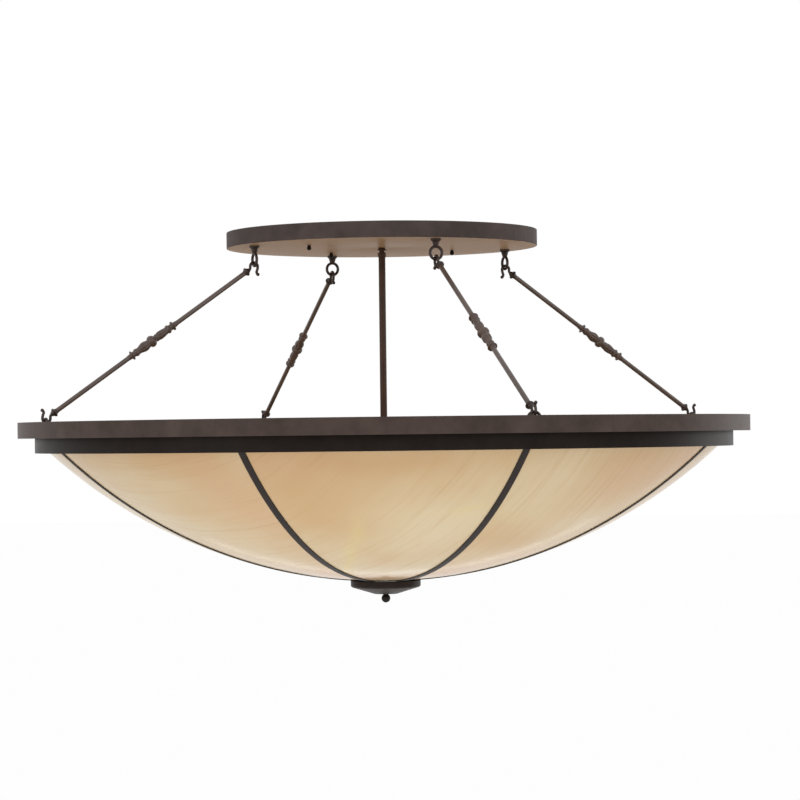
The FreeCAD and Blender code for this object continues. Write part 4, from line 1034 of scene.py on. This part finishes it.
# %% [markdown]
# ## Lamps inside the bowl
# Eight bulbs stand in a circle, each in a ceramic holder on a bent arm from a turned hub. They
# show only from above.

# %% Lamp hub and arms
HUB_SIDE, HUB_FLAT, ARM_START, ARM_BEND, ARM_RISE, ARM_TUBE = 50, 44, 49.8, 25, 15, 5
hub = [(radius, LAMP_HUB_TOP + z) for radius, z in (
    (STEM, -24), (HUB_FLAT, -24), (HUB_SIDE, -18), (HUB_SIDE, -6), (HUB_FLAT, 0), (STEM, 0))]
turned_piece("lamp_hub_disc", hub, 2, 64, "bowl", "inner_bronze", inner_bronze, "lamp_hub")
arm_line = bent_line((ARM_START, LAMP_LEVEL), 0, [
    (LAMP_CIRCLE - ARM_BEND - ARM_START, 0), arc_run(ARM_BEND, 90), (ARM_RISE, 0)], 3)
arm = capped(arm_line, circle(ARM_TUBE, 16))
grid_piece("lamp_arm_tubes", around([arm], FRONT, 8), "bowl", "inner_bronze", inner_bronze,
           "lamp_arms")

# %% [markdown]
# ## Lampholders and bulbs
# A holder is a cup with a groove near its mouth. A bulb's outline is its ribbed shell, a flare
# and a ball.

# %% Lampholders and bulbs
def holder_profile():
    """From the axis under the foot up the outside, over the mouth and down to the cup's floor."""
    foot, top = HOLDER_FOOT, HOLDER_TOP
    return eased([(0, foot), (13, foot), (18, foot + 14), (18, top - 6), (17.2, top - 5),
                  (17.2, top - 3.5), (18, top - 2.5), (18, top), (13.3, top), (13.3, top - 25),
                  (0, top - 25)], 1)


def bulb_profile():
    """The thread is a sine wave along the shell; the flare is a parabola up to the ball."""
    low, ball, pitch = HOLDER_TOP - 24, 30, 3.6
    z = np.linspace(low + 3, HOLDER_TOP - 1, 40)
    thread = np.stack([12.6 + 0.35 * np.sin((z - low) * 2 * pi / pitch), z], axis=-1)
    centre = HOLDER_TOP + 86 - ball
    globe = ball_line(ball, centre, -asin(0.6), pi / 2, 28)
    neck = np.array([13, HOLDER_TOP + 1])
    flare = bend(neck, np.array([15, centre - ball]), globe[0],
                 np.linspace(0, 1, 12)[1:-1, None])
    return np.vstack([[(0, low), (5, low), (9.5, low + 1.5)], thread, neck, flare, globe])


holders = []
for number in range(8):
    a = radians(FRONT + RIB_STEP * number)
    x, y = LAMP_CIRCLE * cos(a), LAMP_CIRCLE * sin(a)
    holders.append(shifted(lathe(holder_profile(), 40), x, y))
    name = "bulb_%d" % (number + 1)
    grid_piece(name + "_globe", [shifted(lathe(bulb_profile(), 40), x, y)], name, "lamp_glass",
               bulb_glass, name)
grid_piece("holder_cups", holders, "bowl", "porcelain", glaze, "lampholders")

# %% [markdown]
# ## The white room
# A pale floor far below and an even sky are plain white to the camera and in reflections, but
# light the object more softly. The floor keeps three hundredths of its own shading for the
# shadow, and is clear from underneath, so that the bowl can be seen from below.

# %% Floor and sky
WHITE, FLOOR_LEVEL, FLOOR_HALF, SKY_LIGHT = (1, 1, 1, 1), -2.5, 60, 0.6


def seen_plainly(finish):
    """1 for rays from the camera, a reflection or clear glass, 0 for the light itself."""
    camera, glossy, clear = [finish.node("LightPath", out="Is %s Ray" % kind)
                             for kind in ("Camera", "Glossy", "Transmission")]
    return camera.larger(glossy).larger(clear)


def studio_floor():
    """One flat square whose face looks up."""
    h = FLOOR_HALF
    mesh = bpy.data.meshes.new("studio_floor")
    mesh.from_pydata([(*spot, FLOOR_LEVEL) for spot in bar(-h, h, -h, h)], [], [(0, 1, 2, 3)])
    floor = placed("studio_floor", mesh)
    finish = Finish("floor_white")
    cloud = finish.noise(finish.place(), 0.8, 2)
    colour = finish.mix(cloud, (0.86, 0.86, 0.86, 1), (0.9, 0.9, 0.9, 1))
    matt = finish.node("BsdfDiffuse", {}, {"Color": colour})
    bright = finish.node("Emission", {}, {"Color": WHITE, "Strength": 1})
    above = finish.node("MixShader", {}, {
        0: seen_plainly(finish) * 0.97, 1: matt, 2: bright})
    below = finish.node("NewGeometry", out="Backfacing")
    clear = finish.node("BsdfTransparent")
    dress(floor, finish.show(finish.node("MixShader", {}, {
        0: below, 1: above, 2: clear})))


def sky():
    """Strength 1 where it is seen, less where it only lights."""
    world = bpy.data.worlds.new("studio_sky")
    bpy.context.scene.world = world
    finish = Finish("studio_sky", world)
    strength = SKY_LIGHT + seen_plainly(finish) * (1 - SKY_LIGHT)
    finish.show(finish.node("Background", {}, {"Color": WHITE, "Strength": strength}),
                "OutputWorld")


studio_floor()
sky()
print("floor at", FLOOR_LEVEL, "m, sky", bpy.context.scene.world.name)

# %% [markdown]
# ## Soft lamps
# A large soft lamp on each side gives the bands their gentle gradient, a third from below opens
# up the bowl's shadow side, and one behind on the right lifts the edges. A low strip behind the
# bowl leaves the thin bright line low in the glass.

# %% Lamps
def softbox(name, place, target, size, power, height=None):
    """A round soft lamp, or with a height a long strip as wide as its size. Its local Z points
    back from the target: the first angle tips it from straight up, the last swings it round."""
    data = bpy.data.lights.new(name, "AREA")
    data.shape = "RECTANGLE" if height else "DISK"
    data.size, data.size_y, data.energy = size, height or size, power
    lamp = placed(name, data)
    away = np.subtract(place, target)
    away = away / np.linalg.norm(away)
    lamp.location = place
    lamp.rotation_euler = (acos(away[2]), 0, atan2(away[1], away[0]) + pi / 2)
    lamp.visible_camera = False


softbox("key_right", (3.6, -4.2, 0.6), (0, 0, -0.5), 2.4, 30)
softbox("fill_left", (-4.2, -3.4, -0.2), (0, 0, -0.5), 2.6, 36)
softbox("lift_below", (0, -0.8, -2.4), (0, 0, -0.8), 3.2, 25)
softbox("edge_right", (4.6, 2.6, -0.6), (0.6, 0, -0.5), 3, 26)
softbox("low_strip", (0.12, 2.4, -1.96), (0, -0.25, -0.82), 2.3, 1, 0.06)
print("lamps:", len(bpy.data.lights))

# %% [markdown]
# ## Camera
# The eye is level with the ledge and over seven metres away: a long lens well back keeps the
# bands almost straight. A small shift puts the object where the photograph has it, and a roll of
# two thirds of a degree follows its slight tilt.

# %% Camera
EYE, LENS, SHIFT, ROLL = (0, -7.2, -0.5088), 128.8, (0.02, 0.0428), 0.0118


def photograph_camera():
    """Level and facing +Y, then rolled about that axis."""
    data = bpy.data.cameras.new("camera")
    data.sensor_width, data.lens, data.clip_end = 36, LENS, 200
    data.shift_x, data.shift_y = SHIFT
    camera = placed("camera", data)
    camera.location = EYE
    camera.rotation_mode = "QUATERNION"
    camera.rotation_quaternion = Quaternion((0, 1, 0), ROLL) @ Quaternion((1, 0, 0), pi / 2)
    bpy.context.scene.camera = camera


photograph_camera()
bpy.context.scene.view_settings.view_transform = "Standard"
print("lens", LENS, "mm at", EYE)
